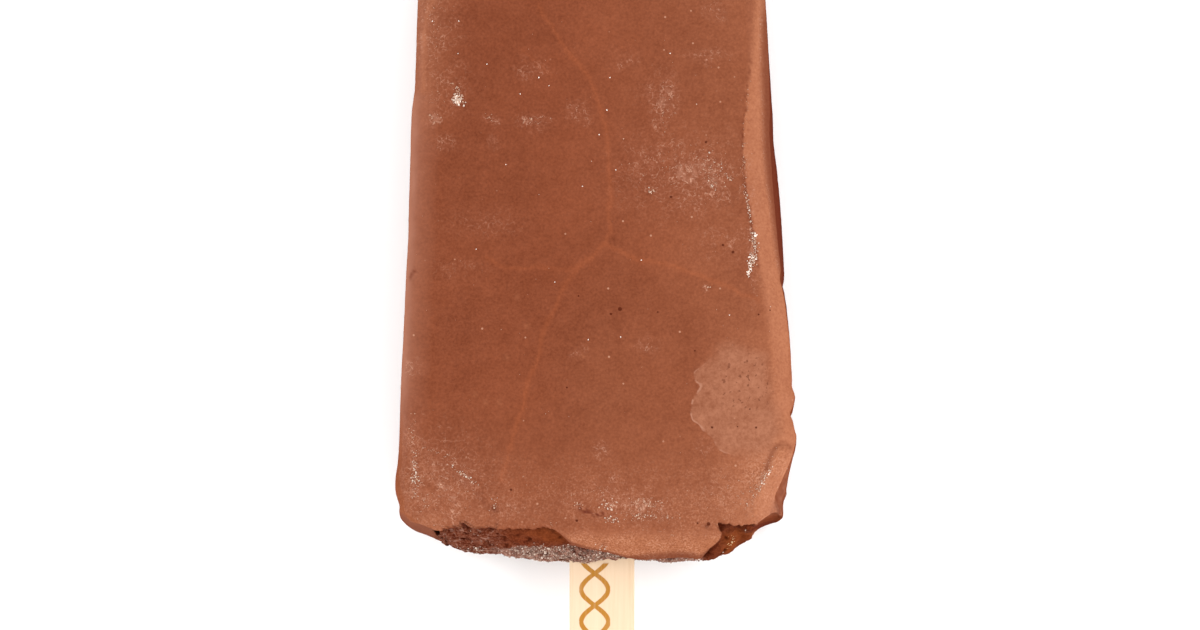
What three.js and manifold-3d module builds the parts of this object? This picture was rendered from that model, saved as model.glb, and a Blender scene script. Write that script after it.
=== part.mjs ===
// Chocolate-coated ice cream bar on a wooden stick, lying on its back.
//
// Units are millimetres. +Z is up, out of the bar's front face. +Y runs from the stick towards the
// bar's far tip, and +X is to the right seen from above. The origin is on the surface that the bar
// lies on, under the middle of its box.
//
// Three solids: the milk-chocolate coating with its ragged lip round the stick end, the dark
// chocolate ice cream that fills it and bulges out past the lip, and the stick that it is frozen to.

import * as THREE from 'three';
import { ParametricGeometry } from 'three/addons/geometries/ParametricGeometry.js';
import { mergeVertices } from 'three/addons/utils/BufferGeometryUtils.js';
import Module from 'manifold-3d';

const { lerp, smoothstep, clamp } = THREE.MathUtils;

// ---- Driving dimensions -------------------------------------------------------------------------

const OVERALL_LENGTH = 147; // stick end to tip
const STICK_OUT = 50; // stick left bare
const STICK_LENGTH = 114;
const STICK_WIDTH = 8.5;
const STICK_THICKNESS = 2.2;
const STICK_EDGE = 0.35; // softened arris
const STICK_X = 0.65; // the stick stands a little right of the middle

const HEEL_HEIGHT = 21; // thickness at the stick end
const TIP_HEIGHT = 18.5; // thickness at the tip, before it rounds off
const LEFT_REACH = 25.8; // half width to the left at the reference station
const RIGHT_REACH = 26.2;
const REFERENCE_Y = -8.5;
const LEFT_TAPER = 0.0307; // how fast each side draws in towards the tip
const RIGHT_TAPER = 0.0637;
const LEFT_STEP = 0.3; // the left side steps out by this much below the tip
const FACE_CROWN = 0.3; // the front face is this much higher in the middle
const HEEL_DROP = 0.5; // the front face bends down this much at the stick end

// Swellings and dents of the two sides, as [y, half width, height].
const LEFT_BUMPS = [[-13.5, 2.2, 0.3]];
const RIGHT_BUMPS = [[11.7, 0.9, -0.3], [-3.3, 1.3, 0.35], [-5.6, 0.9, -0.35], [-8.8, 1.6, 0.3]];
const LEFT_CORNER = { length: 7, depth: 1.7, power: 2.2 }; // how the side draws in to the stick end
const RIGHT_CORNER = { length: 13, depth: 2.2, power: 0.8 };

const RIGHT_LEAN = 0.3; // how far the right wall stands out below its bevel
const RIGHT_LEAN_BUMPS = [[24, 12, 0.9], [-16.5, 4, 1.3]];
const LEFT_LEAN = 0.4; // how far the left wall bellies out
const BELLY_TURN = 0.83; // share of a half turn of the sine that a bellied wall follows
const TIP_SIDE_BEVEL = 2.9; // width of the long bevel between the front face and the right wall
const MIDDLE_BEVEL = 2;
const HEEL_BEVEL = 2.8;
const BEVEL_FALL = 0.72; // how far it drops for its width
const BEVEL_POWER = 1.35; // its shape, from 1 for a flat chamfer to 2 for a round
const LEFT_EDGE = 1.3; // rounding between the front face and the left wall
const BACK_EDGE = 3; // rounding between the back and the walls
const LEAST_EDGE = 0.5; // what is left of these roundings deep inside

const TIP_LENGTH = 18; // the tip starts to draw in this far before its end
const TIP_RUN = 28; // length round the tip's corner
const TIP_POWER = 2.6; // shape of the tip from above, 2 for an ellipse and more for a squarer one
const TIP_EDGE = 2.4; // rounding between the front face and the wall that goes round the tip
const TIP_BLEND = 24; // the side's edges turn into the tip's from this far before the end

const COAT_THICKNESS = 1.5;
const FILLING_GAP = 0.3; // clearance between the solids
const HEEL_SWELL = 3.9; // how far the skin swells past the lip in the middle of the stick end
const SWELL_LOSS = 0.65; // what each millimetre of depth takes off the swell's reach
const DEPTH_SETBACK = 0.35; // the part of it that already sets the edge back
const SWELL_POWER = 1.7; // roundness of the swell, from 1 for a cone to 2 for a dome
const LEFT_SHOULDER = 0.72; // share of the swell that the skin reaches near each corner
const RIGHT_SHOULDER = 0.85;
const LEFT_SETBACK = 1.75; // how far each corner of the stick end is drawn back
const RIGHT_SETBACK = 2.9;
const HOLLOWS = [[17.6, 2.6, 1.2], [-19.8, 1.7, 0.9]]; // [x, half width, depth]
const HEEL_FILLET = 1.2; // rounding where the wall turns into the stick end
const LEFT_BORDER = 19.5; // the coating wraps the stick end's corners up to these distances
const RIGHT_BORDER = 20.9;
const CORNER_STEP = 1.7; // this far outside the left border the lip jumps to the open one
const CHIP_STEP = 0.4; // and this far outside the right border to the chip
const OPEN_LIP = 0.8; // the lip left of the flap and at the chip stops this far short of the edge
const BACK_LIP = 0.2;
const FLAP_REACH = 4.9; // the flap folds over the edge by this much at its left end
const FLAP_TURN = 1.2; // and this much more towards the right
const LIP_ZONE = 8; // length of wall in which the rows bend to follow the lip

// ---- Places worked out from them ----------------------------------------------------------------

const TIP_Y = OVERALL_LENGTH / 2;
const STICK_END_Y = -OVERALL_LENGTH / 2;
const FILLING_END_Y = STICK_END_Y + STICK_OUT;
const FILLING_DEPTH = COAT_THICKNESS + FILLING_GAP;
const EDGE_Y = FILLING_END_Y + HEEL_SWELL - SWELL_LOSS * FILLING_DEPTH; // where the wall ends
const TIP_START = TIP_Y - TIP_LENGTH - EDGE_Y; // path at which the tip starts to draw in
const TIP_END = TIP_START + TIP_RUN;
const MIDDLE_Z = HEEL_HEIGHT / 2;

// ---- Outline ------------------------------------------------------------------------------------

/** A smooth local swelling, or a dent where height is negative. */
function bump(at, centre, width, height) {
  return height * Math.exp(-(((at - centre) / width) ** 2));
}

const sumOfBumps = (y, bumps) => bumps.reduce((sum, shape) => sum + bump(y, ...shape), 0);

/** How much a side has drawn in at this y, on its way to the edge of the stick end. */
function cornerCut(y, { length, depth, power }) {
  return depth * clamp(1 - (y - EDGE_Y) / length, 0, 1) ** power;
}

function leftReach(y) {
  const straight = LEFT_REACH - LEFT_TAPER * (y - REFERENCE_Y);
  const step = LEFT_STEP * (1 - smoothstep(y, 34, 39));
  return straight + step + sumOfBumps(y, LEFT_BUMPS) - cornerCut(y, LEFT_CORNER);
}

function rightReach(y) {
  const straight = RIGHT_REACH - RIGHT_TAPER * (y - REFERENCE_Y);
  return straight + sumOfBumps(y, RIGHT_BUMPS) - cornerCut(y, RIGHT_CORNER);
}

function rightBevel(y) {
  const lower = lerp(HEEL_BEVEL, MIDDLE_BEVEL, smoothstep(y, -19, -12));
  return lerp(lower, TIP_SIDE_BEVEL, smoothstep(y, -2, 8));
}

/** Height of the front face along the middle of the bar. */
function frontHeight(y) {
  const taper = lerp(HEEL_HEIGHT, TIP_HEIGHT, (y - EDGE_Y) / (TIP_Y - EDGE_Y));
  return taper - HEEL_DROP * (1 - smoothstep(y, EDGE_Y, EDGE_Y + LIP_ZONE)) ** 2;
}

// ---- Section ------------------------------------------------------------------------------------

// The section is a ring of eight runs, walked from the front's left end. Opposite runs have as many
// columns: the front and back meet on a line across the stick end, and the sides on one down the tip.
const RUNS = [
  { name: 'front', columns: 28 },
  { name: 'frontRight', columns: 3 },
  { name: 'right', columns: 4 },
  { name: 'backRight', columns: 2 },
  { name: 'back', columns: 28 },
  { name: 'backLeft', columns: 2 },
  { name: 'left', columns: 4 },
  { name: 'frontLeft', columns: 3 },
];

function makeStations() {
  const stations = [];
  for (const { name, columns } of RUNS) {
    for (let i = 0; i < columns; i += 1) stations.push({ run: name, along: i / columns });
  }
  return stations;
}

const STATIONS = makeStations();

/** Soft corner: 0 to 1 of its width and height, a chamfer at power 1 and round at power 2. */
function softCorner(along, power) {
  const angle = (along * Math.PI) / 2;
  return [Math.sin(angle) ** (2 / power), Math.cos(angle) ** (2 / power)];
}

/** The bellied line of a side wall, from 0 at its top to 1 where it is widest, below the middle. */
const belly = (along) => Math.sin(BELLY_TURN * Math.PI * along);

/** Point [x, z] of one station of the section at y, inside the outer skin by depth. */
function sectionPoint({ run, along }, y, depth) {
  const atTip = smoothstep(y, TIP_Y - TIP_BLEND, TIP_Y - TIP_LENGTH / 2);
  const edge = (size) => Math.max(size - depth / 2, LEAST_EDGE);
  const lean = lerp(RIGHT_LEAN + sumOfBumps(y, RIGHT_LEAN_BUMPS), LEFT_LEAN, atTip);
  const bevel = edge(lerp(rightBevel(y), TIP_EDGE, atTip));
  const bevelDrop = bevel * lerp(BEVEL_FALL, 1, atTip);
  const leftEdge = edge(lerp(LEFT_EDGE, TIP_EDGE, atTip));
  const backEdge = edge(BACK_EDGE);
  const crown = FACE_CROWN * (1 - smoothstep(y, TIP_Y - TIP_LENGTH, TIP_Y));
  const front = frontHeight(y) - depth;
  const right = rightReach(y) - lean - depth;
  const left = depth + LEFT_LEAN - leftReach(y);
  const wallRight = right + lean * belly(1);
  const wallLeft = left - LEFT_LEAN * belly(1);
  const [out, down] = softCorner(along, run === 'frontRight' ? lerp(BEVEL_POWER, 2, atTip) : 2);
  switch (run) {
    case 'front': {
      const x = lerp(left + leftEdge, right - bevel, along);
      return [x, front + crown * (1 - (2 * along - 1) ** 2)];
    }
    case 'frontRight':
      return [right - bevel + bevel * out, front - bevelDrop + bevelDrop * down];
    case 'right':
      return [right + lean * belly(along), lerp(front - bevelDrop, depth + backEdge, along)];
    case 'backRight':
      return [wallRight - backEdge + backEdge * down, depth + backEdge - backEdge * out];
    case 'back':
      return [lerp(wallRight - backEdge, wallLeft + backEdge, along), depth];
    case 'backLeft':
      return [wallLeft + backEdge - backEdge * out, depth + backEdge - backEdge * down];
    case 'left':
      return [left - LEFT_LEAN * belly(1 - along), lerp(depth + backEdge, front - leftEdge, along)];
    default:
      return [left + leftEdge - leftEdge * down, front - leftEdge + leftEdge * out];
  }
}

/**
 * How far a station lies inside the widest outline of the section at y. A station on the front or
 * the back counts as if it were on that face's own edge, so that the face ends straight across.
 */
function insideOutline({ run, along }, y, depth) {
  const middle = (rightReach(y) - leftReach(y)) / 2;
  const halfWidth = (rightReach(y) + leftReach(y)) / 2;
  const inside = (share) => {
    const [x] = sectionPoint({ run, along: share }, y, depth);
    return halfWidth - Math.abs(x - middle);
  };
  const flat = run === 'front' || run === 'back';
  return flat ? lerp(inside(0), inside(1), along) : inside(along);
}

// ---- Skin ---------------------------------------------------------------------------------------

/**
 * Share of the full swell at this x. The ice cream has pushed out most in the middle: from each
 * corner the skin rises steeply to a shoulder and then more gently.
 */
function swellShare(x) {
  const rise = (distance, run) => Math.sin((Math.PI / 2) * clamp(distance / run, 0, 1));
  const left = lerp(smoothstep(x, -16, -8), rise(x + 20, 2.4), LEFT_SHOULDER);
  const right = lerp(smoothstep(-x, -16, -12), rise(21.2 - x, 4.5), RIGHT_SHOULDER);
  return left * right;
}

/** Hollows in the end of the filling, under the chip and at the left end of the open lip. */
function hollow(x, inward, depth) {
  const share = Math.max(0, depth - COAT_THICKNESS) / FILLING_GAP;
  return share * (1 - smoothstep(inward, 0.3, 0.8)) * sumOfBumps(x, HOLLOWS);
}

/** How far the stick end is drawn back towards the tip, at its corners and inside the skin. */
function setback(x, inward, depth) {
  const corners = LEFT_SETBACK * smoothstep(-x, 18.5, 24.5) + RIGHT_SETBACK * smoothstep(x, 17, 24);
  return corners + hollow(x, inward, depth) + DEPTH_SETBACK * depth;
}

/** Where a station's column ends on the line along which the stick end's two halves meet. */
function meetingX({ run, along }, depth) {
  const onRight = run.toLowerCase().includes('right');
  const share = { front: along, back: 1 - along }[run] ?? (onRight ? 1 : 0);
  const [left] = sectionPoint({ run: 'front', along: 0 }, EDGE_Y, depth);
  const [right] = sectionPoint({ run: 'front', along: 1 }, EDGE_Y, depth);
  return clamp(lerp(left, right, share), MIDDLE_Z - LEFT_REACH, RIGHT_REACH - MIDDLE_Z);
}

/** Point on the stick end: inward is 0 on its edge and 1 on the line where its halves meet. */
function heelPoint(station, inward, depth, target) {
  const [edgeX, edgeZ] = sectionPoint(station, EDGE_Y, depth);
  const [outerEdgeX] = sectionPoint(station, EDGE_Y, 0);
  const x = lerp(edgeX, meetingX(station, depth), inward);
  const outerX = lerp(outerEdgeX, meetingX(station, 0), inward);
  const swell = HEEL_SWELL * swellShare(outerX) - (SWELL_LOSS - DEPTH_SETBACK) * depth;
  const y = EDGE_Y + setback(outerX, inward, depth) - swell * (1 - (1 - inward) ** SWELL_POWER);
  return target.set(x, y, lerp(edgeZ, MIDDLE_Z, inward));
}

/**
 * Point on the wall, at a path measured up the wall from the edge of the stick end. Round the tip
 * the columns draw in towards the middle, and those of the two sides meet there.
 */
function wallPoint(station, path, depth, target) {
  const turn = clamp((path - TIP_START) / TIP_RUN, 0, 1);
  const [forward, spread] = softCorner(turn, TIP_POWER);
  const rowY = EDGE_Y + Math.min(path, TIP_START) + TIP_LENGTH * forward;
  const [x, z] = sectionPoint(station, rowY, depth);
  if (turn > 0) {
    const middle = (rightReach(rowY) - leftReach(rowY)) / 2;
    const y = rowY - forward * insideOutline(station, rowY, depth);
    return target.set(lerp(middle, x, spread), y, z);
  }
  const [outerX] = sectionPoint(station, rowY, 0);
  return target.set(x, rowY + setback(outerX, 0, depth) * (1 - smoothstep(path, 0, LIP_ZONE)), z);
}

/**
 * Point of the skin with the wall and the stick end meeting in a sharp edge. path is 0 on that
 * edge, the distance up the wall above it, and minus the way in from the edge on the stick end.
 */
function sharpPoint(station, path, depth, target) {
  if (path >= 0) return wallPoint(station, path, depth, target);
  return heelPoint(station, clamp(-path / MIDDLE_Z, 0, 1), depth, target);
}

/** Point of the skin, with the edge of the stick end rounded. */
function skinPoint(station, path, depth, target) {
  if (Math.abs(path) >= HEEL_FILLET) return sharpPoint(station, path, depth, target);
  const above = sharpPoint(station, HEEL_FILLET, depth, new THREE.Vector3());
  const edge = sharpPoint(station, 0, depth, new THREE.Vector3());
  const below = sharpPoint(station, -HEEL_FILLET, depth, new THREE.Vector3());
  const share = (HEEL_FILLET - path) / (2 * HEEL_FILLET);
  target.set(0, 0, 0);
  target.addScaledVector(above, (1 - share) ** 2);
  target.addScaledVector(edge, 2 * share * (1 - share));
  return target.addScaledVector(below, share ** 2);
}

// ---- Lip of the coating -------------------------------------------------------------------------

/** Small uneven steps of the broken lip. */
const ragged = (x) => 0.16 * Math.sin(1.9 * x + 0.6) + 0.1 * Math.sin(4.3 * x);

/** Lip of a column that reaches x on the edge, where the coating wraps the corner up to border. */
function cornerLip(x, border, reach) {
  const meeting = reach - MIDDLE_Z;
  return (-MIDDLE_Z * (Math.abs(x) - border)) / (Math.abs(x) - meeting);
}

/**
 * Path at which the front's coating ends: level with the edge on the left, then a flap folded over
 * the end from the middle to the right, and a chip out of it before the right corner.
 */
function frontLip(x) {
  const flap = FLAP_REACH * smoothstep(x, -5.8, 1) + FLAP_TURN * smoothstep(x, 1, 9);
  return lerp(OPEN_LIP - flap, OPEN_LIP, smoothstep(x, 15.4, 16.6)) + ragged(x);
}

function lipPath(station) {
  const [x] = sectionPoint(station, EDGE_Y, 0);
  if (x < -LEFT_BORDER - CORNER_STEP) return cornerLip(x, LEFT_BORDER, LEFT_REACH);
  if (x > RIGHT_BORDER + CHIP_STEP) return cornerLip(x, RIGHT_BORDER, RIGHT_REACH);
  return station.run === 'back' ? BACK_LIP + 2 * ragged(x / 2) : frontLip(x);
}

// ---- Rows ---------------------------------------------------------------------------------------

const TIP_ROWS = 8; // rows round the tip
const OUTLINE_PATHS = [66, 57, 45, 34.5, 32.5, 30.5, 20, 17.5, 15.2, 12]; // where the sides bend
const LIP_ROWS = 4; // rows from the lip zone down to the edge
const FOLD_ROWS = 4; // rows from the edge down to the lip
const LEAST_FOLD = 0.8; // these rows start this far above a lip that stops short of the edge
const END_SHARES = [0.06, 0.2, 0.4, 0.6, 0.8, 1]; // the filling's rows over the stick end
const RIM_ROWS = [
  [0.3, 0.2],
  [0.5, 0.5],
  [0.3, 0.8],
]; // [overhang past the lip, share of the thickness]

/** Rows down the wall that the coating and the filling share, from the end of the tip. */
function wallPaths() {
  const tip = Array.from({ length: TIP_ROWS }, (_, i) => lerp(TIP_END, TIP_START, i / TIP_ROWS));
  return [...tip, TIP_START, ...OUTLINE_PATHS, LIP_ZONE];
}

const WALL_PATHS = wallPaths();

/** Path of row i below the shared ones, for a coating that ends at lip. */
function lipRow(i, lip) {
  const edge = Math.max(0, lip + LEAST_FOLD);
  if (i <= LIP_ROWS) return lerp(LIP_ZONE, edge, i / LIP_ROWS);
  return lerp(edge, lip, (i - LIP_ROWS) / FOLD_ROWS);
}

/** Rows of the coating as [path, depth] for one column: down the outside, round the lip and up. */
function coatingRows(lip) {
  const down = WALL_PATHS.map((path) => [path, 0]);
  for (let i = 1; i <= LIP_ROWS + FOLD_ROWS; i += 1) down.push([lipRow(i, lip), 0]);
  const up = down.map(([path]) => [path, COAT_THICKNESS]).reverse();
  const rim = RIM_ROWS.map(([over, share]) => [lip - over, share * COAT_THICKNESS]);
  return [...down, ...rim, ...up];
}

/** Rows of the filling: down its wall and in over its end to the line where front and back meet. */
function fillingRows() {
  const wall = [0.6, 0.25, 0.1, 0.03].map((share) => share * LIP_ZONE);
  const end = END_SHARES.map((share) => -share * MIDDLE_Z);
  return [...WALL_PATHS, ...wall, ...end].map((path) => [path, FILLING_DEPTH]);
}

// ---- Solids -------------------------------------------------------------------------------------

/** Welds a grid of points into one closed surface and drops its collapsed triangles. */
function closedSurface(geometry) {
  geometry.deleteAttribute('normal');
  geometry.deleteAttribute('uv');
  const welded = mergeVertices(geometry, 1e-4);
  const corners = welded.index.array;
  const kept = [];
  for (let i = 0; i < corners.length; i += 3) {
    const [a, b, c] = corners.subarray(i, i + 3);
    if (a !== b && b !== c && c !== a) kept.push(a, b, c);
  }
  welded.setIndex(kept);
  return welded;
}

/**
 * Grid over all stations, one row for each [path, depth] that rowsOf gives a column. The rows are
 * laid last first, which turns the faces outwards.
 */
function skinGrid(rowsOf) {
  const columns = STATIONS.map((station) => ({ station, rows: rowsOf(station).reverse() }));
  const lastRow = columns[0].rows.length - 1;
  const place = (u, v, target) => {
    const { station, rows } = columns[Math.round(u * columns.length) % columns.length];
    const [path, depth] = rows[Math.round(v * lastRow)];
    skinPoint(station, path, depth, target);
  };
  return closedSurface(new ParametricGeometry(place, columns.length, lastRow));
}

/** Flat stick with round ends and softened arrises, grown all round by clearance. */
function stickGeometry(clearance) {
  const radius = STICK_WIDTH / 2 + clearance;
  const straight = STICK_LENGTH / 2 - STICK_WIDTH / 2;
  const edge = STICK_EDGE;
  const outline = new THREE.Shape();
  outline.absarc(0, straight, radius - edge, 0, Math.PI);
  outline.absarc(0, -straight, radius - edge, Math.PI, 2 * Math.PI);
  const depth = STICK_THICKNESS + 2 * clearance - 2 * edge;
  const geometry = new THREE.ExtrudeGeometry(outline, {
    depth,
    steps: 1,
    curveSegments: 14,
    bevelThickness: edge,
    bevelSize: edge,
    bevelSegments: 2,
  });
  geometry.translate(STICK_X, STICK_END_Y + STICK_LENGTH / 2, MIDDLE_Z - depth / 2);
  return closedSurface(geometry);
}

function toManifold(wasm, geometry) {
  const mesh = new wasm.Mesh({
    numProp: 3,
    vertProperties: new Float32Array(geometry.attributes.position.array),
    triVerts: new Uint32Array(geometry.index.array),
  });
  return new wasm.Manifold(mesh);
}

function fromManifold(solid) {
  const { vertProperties, triVerts } = solid.getMesh();
  const geometry = new THREE.BufferGeometry();
  geometry.setAttribute('position', new THREE.BufferAttribute(vertProperties, 3));
  geometry.setIndex(new THREE.BufferAttribute(triVerts, 1));
  return geometry;
}

function namedMesh(name, geometry, color, roughness) {
  geometry.computeVertexNormals();
  const material = new THREE.MeshStandardMaterial({ color, roughness, metalness: 0 });
  const mesh = new THREE.Mesh(geometry, material);
  mesh.name = name;
  return mesh;
}

const wasm = await Module();
wasm.setup();

const coatingSkin = skinGrid((station) => coatingRows(lipPath(station)));
const fillingSkin = skinGrid(fillingRows);
const fillingSolid = toManifold(wasm, fillingSkin);
const stickSlot = toManifold(wasm, stickGeometry(FILLING_GAP));

const bar = new THREE.Group();
bar.add(namedMesh('coating', coatingSkin, '#96512f', 0.6));
bar.add(namedMesh('ice_cream', fromManifold(fillingSolid.subtract(stickSlot)), '#6b2f17', 0.9));
bar.add(namedMesh('stick', stickGeometry(0), '#fae6c3', 0.75));

// The outline isn't quite even, so the finished bar is set down over the middle of its own box.
const box = new THREE.Box3().setFromObject(bar);
const middle = box.getCenter(new THREE.Vector3());
bar.position.set(-middle.x, -middle.y, -box.min.z);

export default bar;
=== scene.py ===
# %% [markdown]
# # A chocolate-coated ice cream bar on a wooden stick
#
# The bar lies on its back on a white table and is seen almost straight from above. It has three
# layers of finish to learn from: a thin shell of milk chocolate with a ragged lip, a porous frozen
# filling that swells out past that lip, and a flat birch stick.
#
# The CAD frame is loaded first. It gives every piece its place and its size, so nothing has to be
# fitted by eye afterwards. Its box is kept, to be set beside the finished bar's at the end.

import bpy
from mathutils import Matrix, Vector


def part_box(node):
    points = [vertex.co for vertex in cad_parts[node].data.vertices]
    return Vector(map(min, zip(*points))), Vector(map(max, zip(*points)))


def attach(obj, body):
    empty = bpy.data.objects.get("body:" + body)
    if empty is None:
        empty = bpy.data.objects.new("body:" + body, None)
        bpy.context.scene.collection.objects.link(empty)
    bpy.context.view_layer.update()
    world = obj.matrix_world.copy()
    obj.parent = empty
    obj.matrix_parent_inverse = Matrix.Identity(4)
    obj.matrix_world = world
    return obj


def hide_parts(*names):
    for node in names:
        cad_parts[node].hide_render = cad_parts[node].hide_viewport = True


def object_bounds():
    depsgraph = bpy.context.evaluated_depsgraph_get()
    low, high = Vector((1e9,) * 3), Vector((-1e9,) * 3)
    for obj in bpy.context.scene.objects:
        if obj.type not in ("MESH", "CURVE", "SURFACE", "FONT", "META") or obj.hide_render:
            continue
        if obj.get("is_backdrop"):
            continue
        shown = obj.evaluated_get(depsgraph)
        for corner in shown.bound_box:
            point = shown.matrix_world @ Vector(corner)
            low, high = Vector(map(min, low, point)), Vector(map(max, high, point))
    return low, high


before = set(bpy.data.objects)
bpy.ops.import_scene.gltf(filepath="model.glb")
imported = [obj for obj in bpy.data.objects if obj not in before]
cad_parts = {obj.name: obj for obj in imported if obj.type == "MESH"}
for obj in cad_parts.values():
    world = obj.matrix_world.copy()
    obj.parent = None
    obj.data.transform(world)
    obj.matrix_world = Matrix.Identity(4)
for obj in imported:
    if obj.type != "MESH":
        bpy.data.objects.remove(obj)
frame_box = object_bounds()
print("The frame holds", sorted(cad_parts), "in the box", frame_box)

# %% [markdown]
# Most of the modelling below is done on whole grids of points at once, which numpy is made for.
# `mix`, `step`, `bell` and `bumps` are the small tools that soft food shapes are built from: a
# straight blend, a soft step, a soft hill and a row of gentle swellings.

# %% Tools for soft shapes
import math

import bmesh
import bpy
import numpy as np
from mathutils import Euler, Vector, noise

MM = 0.001  # the shapes are worked out in millimetres and the objects are in metres


def mix(low, high, share):
    return low + (high - low) * share


def step(value, low, high):
    """A soft step: 0 up to low and 1 from high on."""
    share = np.clip((value - low) / (high - low), 0, 1)
    return share * share * (3 - 2 * share)


def bell(*away):
    """A soft hill: 1 where every away is 0, and next to nothing from 2 on."""
    return np.exp(-sum(side**2 for side in away))


def bumps(at, shapes):
    """Sum of smooth swellings, each given as its centre, half width and height."""
    return sum(height * bell((at - centre) / width) for centre, width, height in shapes)


def highest(*shares):
    return np.maximum.reduce(shares)


def add_object(name, data):
    made = bpy.data.objects.new(name, data)
    bpy.context.scene.collection.objects.link(made)
    return made


trial = np.array([0, 0.5, 1])
print("At", trial, "a step is", step(trial, 0, 1), "and a bell is", bell(trial).round(2))

# %% [markdown]
# The bar's driving sizes are nearly the same as the CAD part's. The bar is a moulded block: a little
# narrower and thinner towards the tip, with a long bevel down the right side of its front face. Its
# sides aren't straight, because the coating ran and was knocked, so each has a few swellings and
# nicks of some tenths of a millimetre, which the solid has in part.

# %% The bar's driving sizes, in millimetres
OVERALL_LENGTH = 147
STICK_OUT = 50
HEEL_HEIGHT = 21
TIP_HEIGHT = 18.5
LEFT_REACH = 25.6
RIGHT_REACH = 26.2
REFERENCE_Y = -8.5
LEFT_TAPER = 0.0307
RIGHT_TAPER = 0.0637
LEFT_STEP = 0.35
FACE_CROWN = 0.3
HEEL_DROP = 0.5
LEFT_BUMPS = [  # swellings and nicks of a side: y, half width and height
    (-17.6, 1.4, -0.34), (-13.5, 2.2, 0.3), (-3.0, 6.0, 0.08), (18.5, 2.5, -0.08), (24.0, 9.0, -0.12),
]
RIGHT_BUMPS = [
    (32.0, 2.5, -0.14), (22.5, 5.0, 0.15), (12.75, 0.9, -0.3), (11.2, 0.9, -0.1), (5.0, 3.5, 0.1),
    (-1.2, 0.7, -0.1), (-2.6, 0.6, 0.2), (-4.9, 0.8, -0.54), (-6.5, 1.3, -0.25), (-8.6, 1.6, 0.2),
    (-12.6, 1.8, -0.2), (-14.4, 0.8, -0.1), (-15.3, 1.0, 0.12), (-17.5, 3.5, -0.45),
]
LEFT_CORNER = (7, 1.7, 6)  # length, depth and power of the way a side draws in to the stick end
RIGHT_CORNER = (13, 2.2, 0.8)
RIGHT_LEAN = 0.3
RIGHT_LEAN_BUMPS = [(24, 12, 0.9), (-16.5, 4, 1.3)]
LEFT_LEAN = 0.4
BELLY_TURN = 0.83
TIP_SIDE_BEVEL = 2.9
MIDDLE_BEVEL = 2
HEEL_BEVEL = 2.8
BEVEL_FALL = 0.72
BEVEL_POWER = 1.35
LEFT_EDGE = 1.3
BACK_EDGE = 3
LEAST_EDGE = 0.5
TIP_LENGTH = 18
TIP_RUN = 28
TIP_POWER = 2.6
TIP_EDGE = 2.4
TIP_BLEND = 24
COAT_THICKNESS = 1.5
FILLING_GAP = 0.3
HEEL_SWELL = 3.9
SWELL_LOSS = 0.65
DEPTH_SETBACK = 0.35
SWELL_POWER = 1.7
LEFT_SHOULDER = 0.72
RIGHT_SHOULDER = 0.85
LEFT_SETBACK = 1.75
RIGHT_SETBACK = 2.6
HOLLOWS = [(17.6, 2.6, 1.2), (-19.8, 1.7, 0.9)]
HEEL_FILLET = 1.2
LEFT_BORDER = 21.5
RIGHT_BORDER = 20.3
LIP_ZONE = 8

TIP_Y = OVERALL_LENGTH / 2
FILLING_DEPTH = COAT_THICKNESS + FILLING_GAP
EDGE_Y = STICK_OUT - OVERALL_LENGTH / 2 + HEEL_SWELL - SWELL_LOSS * FILLING_DEPTH
TIP_START = TIP_Y - TIP_LENGTH - EDGE_Y
TIP_END = TIP_START + TIP_RUN
MIDDLE_Z = HEEL_HEIGHT / 2

STICK_X = 0.65  # middle of the stick before the bar was set down over the middle of its box
stick_low, stick_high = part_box("stick")
SIDE_SHIFT = (stick_low.x + stick_high.x) / 2 / MM - STICK_X
print("The wall ends at y", round(EDGE_Y, 2), "and the bar is set over by", round(SIDE_SHIFT, 3))

# %% [markdown]
# From above, the bar's outline is two functions of y, one for the reach of each side. Across, its
# section is a ring of eight runs: the four faces and the four edges between them. The left and back
# edges are round. The right front edge is the long bevel, which is flatter than a quarter circle, and
# both side walls bulge a little.


# %% The outline and the section
def corner_cut(y, length, depth, power):
    return depth * np.clip(1 - (y - EDGE_Y) / length, 0, 1) ** power


def left_reach(y):
    straight = LEFT_REACH - LEFT_TAPER * (y - REFERENCE_Y)
    ledge = LEFT_STEP * (1 - step(y, 35, 39))
    return straight + ledge + bumps(y, LEFT_BUMPS) - corner_cut(y, *LEFT_CORNER)


def right_reach(y):
    straight = RIGHT_REACH - RIGHT_TAPER * (y - REFERENCE_Y)
    return straight + bumps(y, RIGHT_BUMPS) - corner_cut(y, *RIGHT_CORNER)


def right_bevel(y):
    lower = mix(HEEL_BEVEL, MIDDLE_BEVEL, step(y, -19, -12))
    return mix(lower, TIP_SIDE_BEVEL, step(y, -2, 8))


def front_height(y):
    taper = mix(HEEL_HEIGHT, TIP_HEIGHT, (y - EDGE_Y) / (TIP_Y - EDGE_Y))
    return taper - HEEL_DROP * (1 - step(y, EDGE_Y, EDGE_Y + LIP_ZONE)) ** 2


def soft_corner(along, power):
    """Two sides of a corner, from 0 to 1: a chamfer at power 1 and round at power 2."""
    angle = along * np.pi / 2
    return np.sin(angle) ** (2 / power), np.maximum(np.cos(angle), 0) ** (2 / power)


def belly(along):
    return np.sin(BELLY_TURN * np.pi * along)


# The section is a ring of eight runs, walked from the left end of the front face.
FRONT, FRONT_RIGHT, RIGHT, BACK_RIGHT, BACK, BACK_LEFT, LEFT, FRONT_LEFT = range(8)


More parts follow.
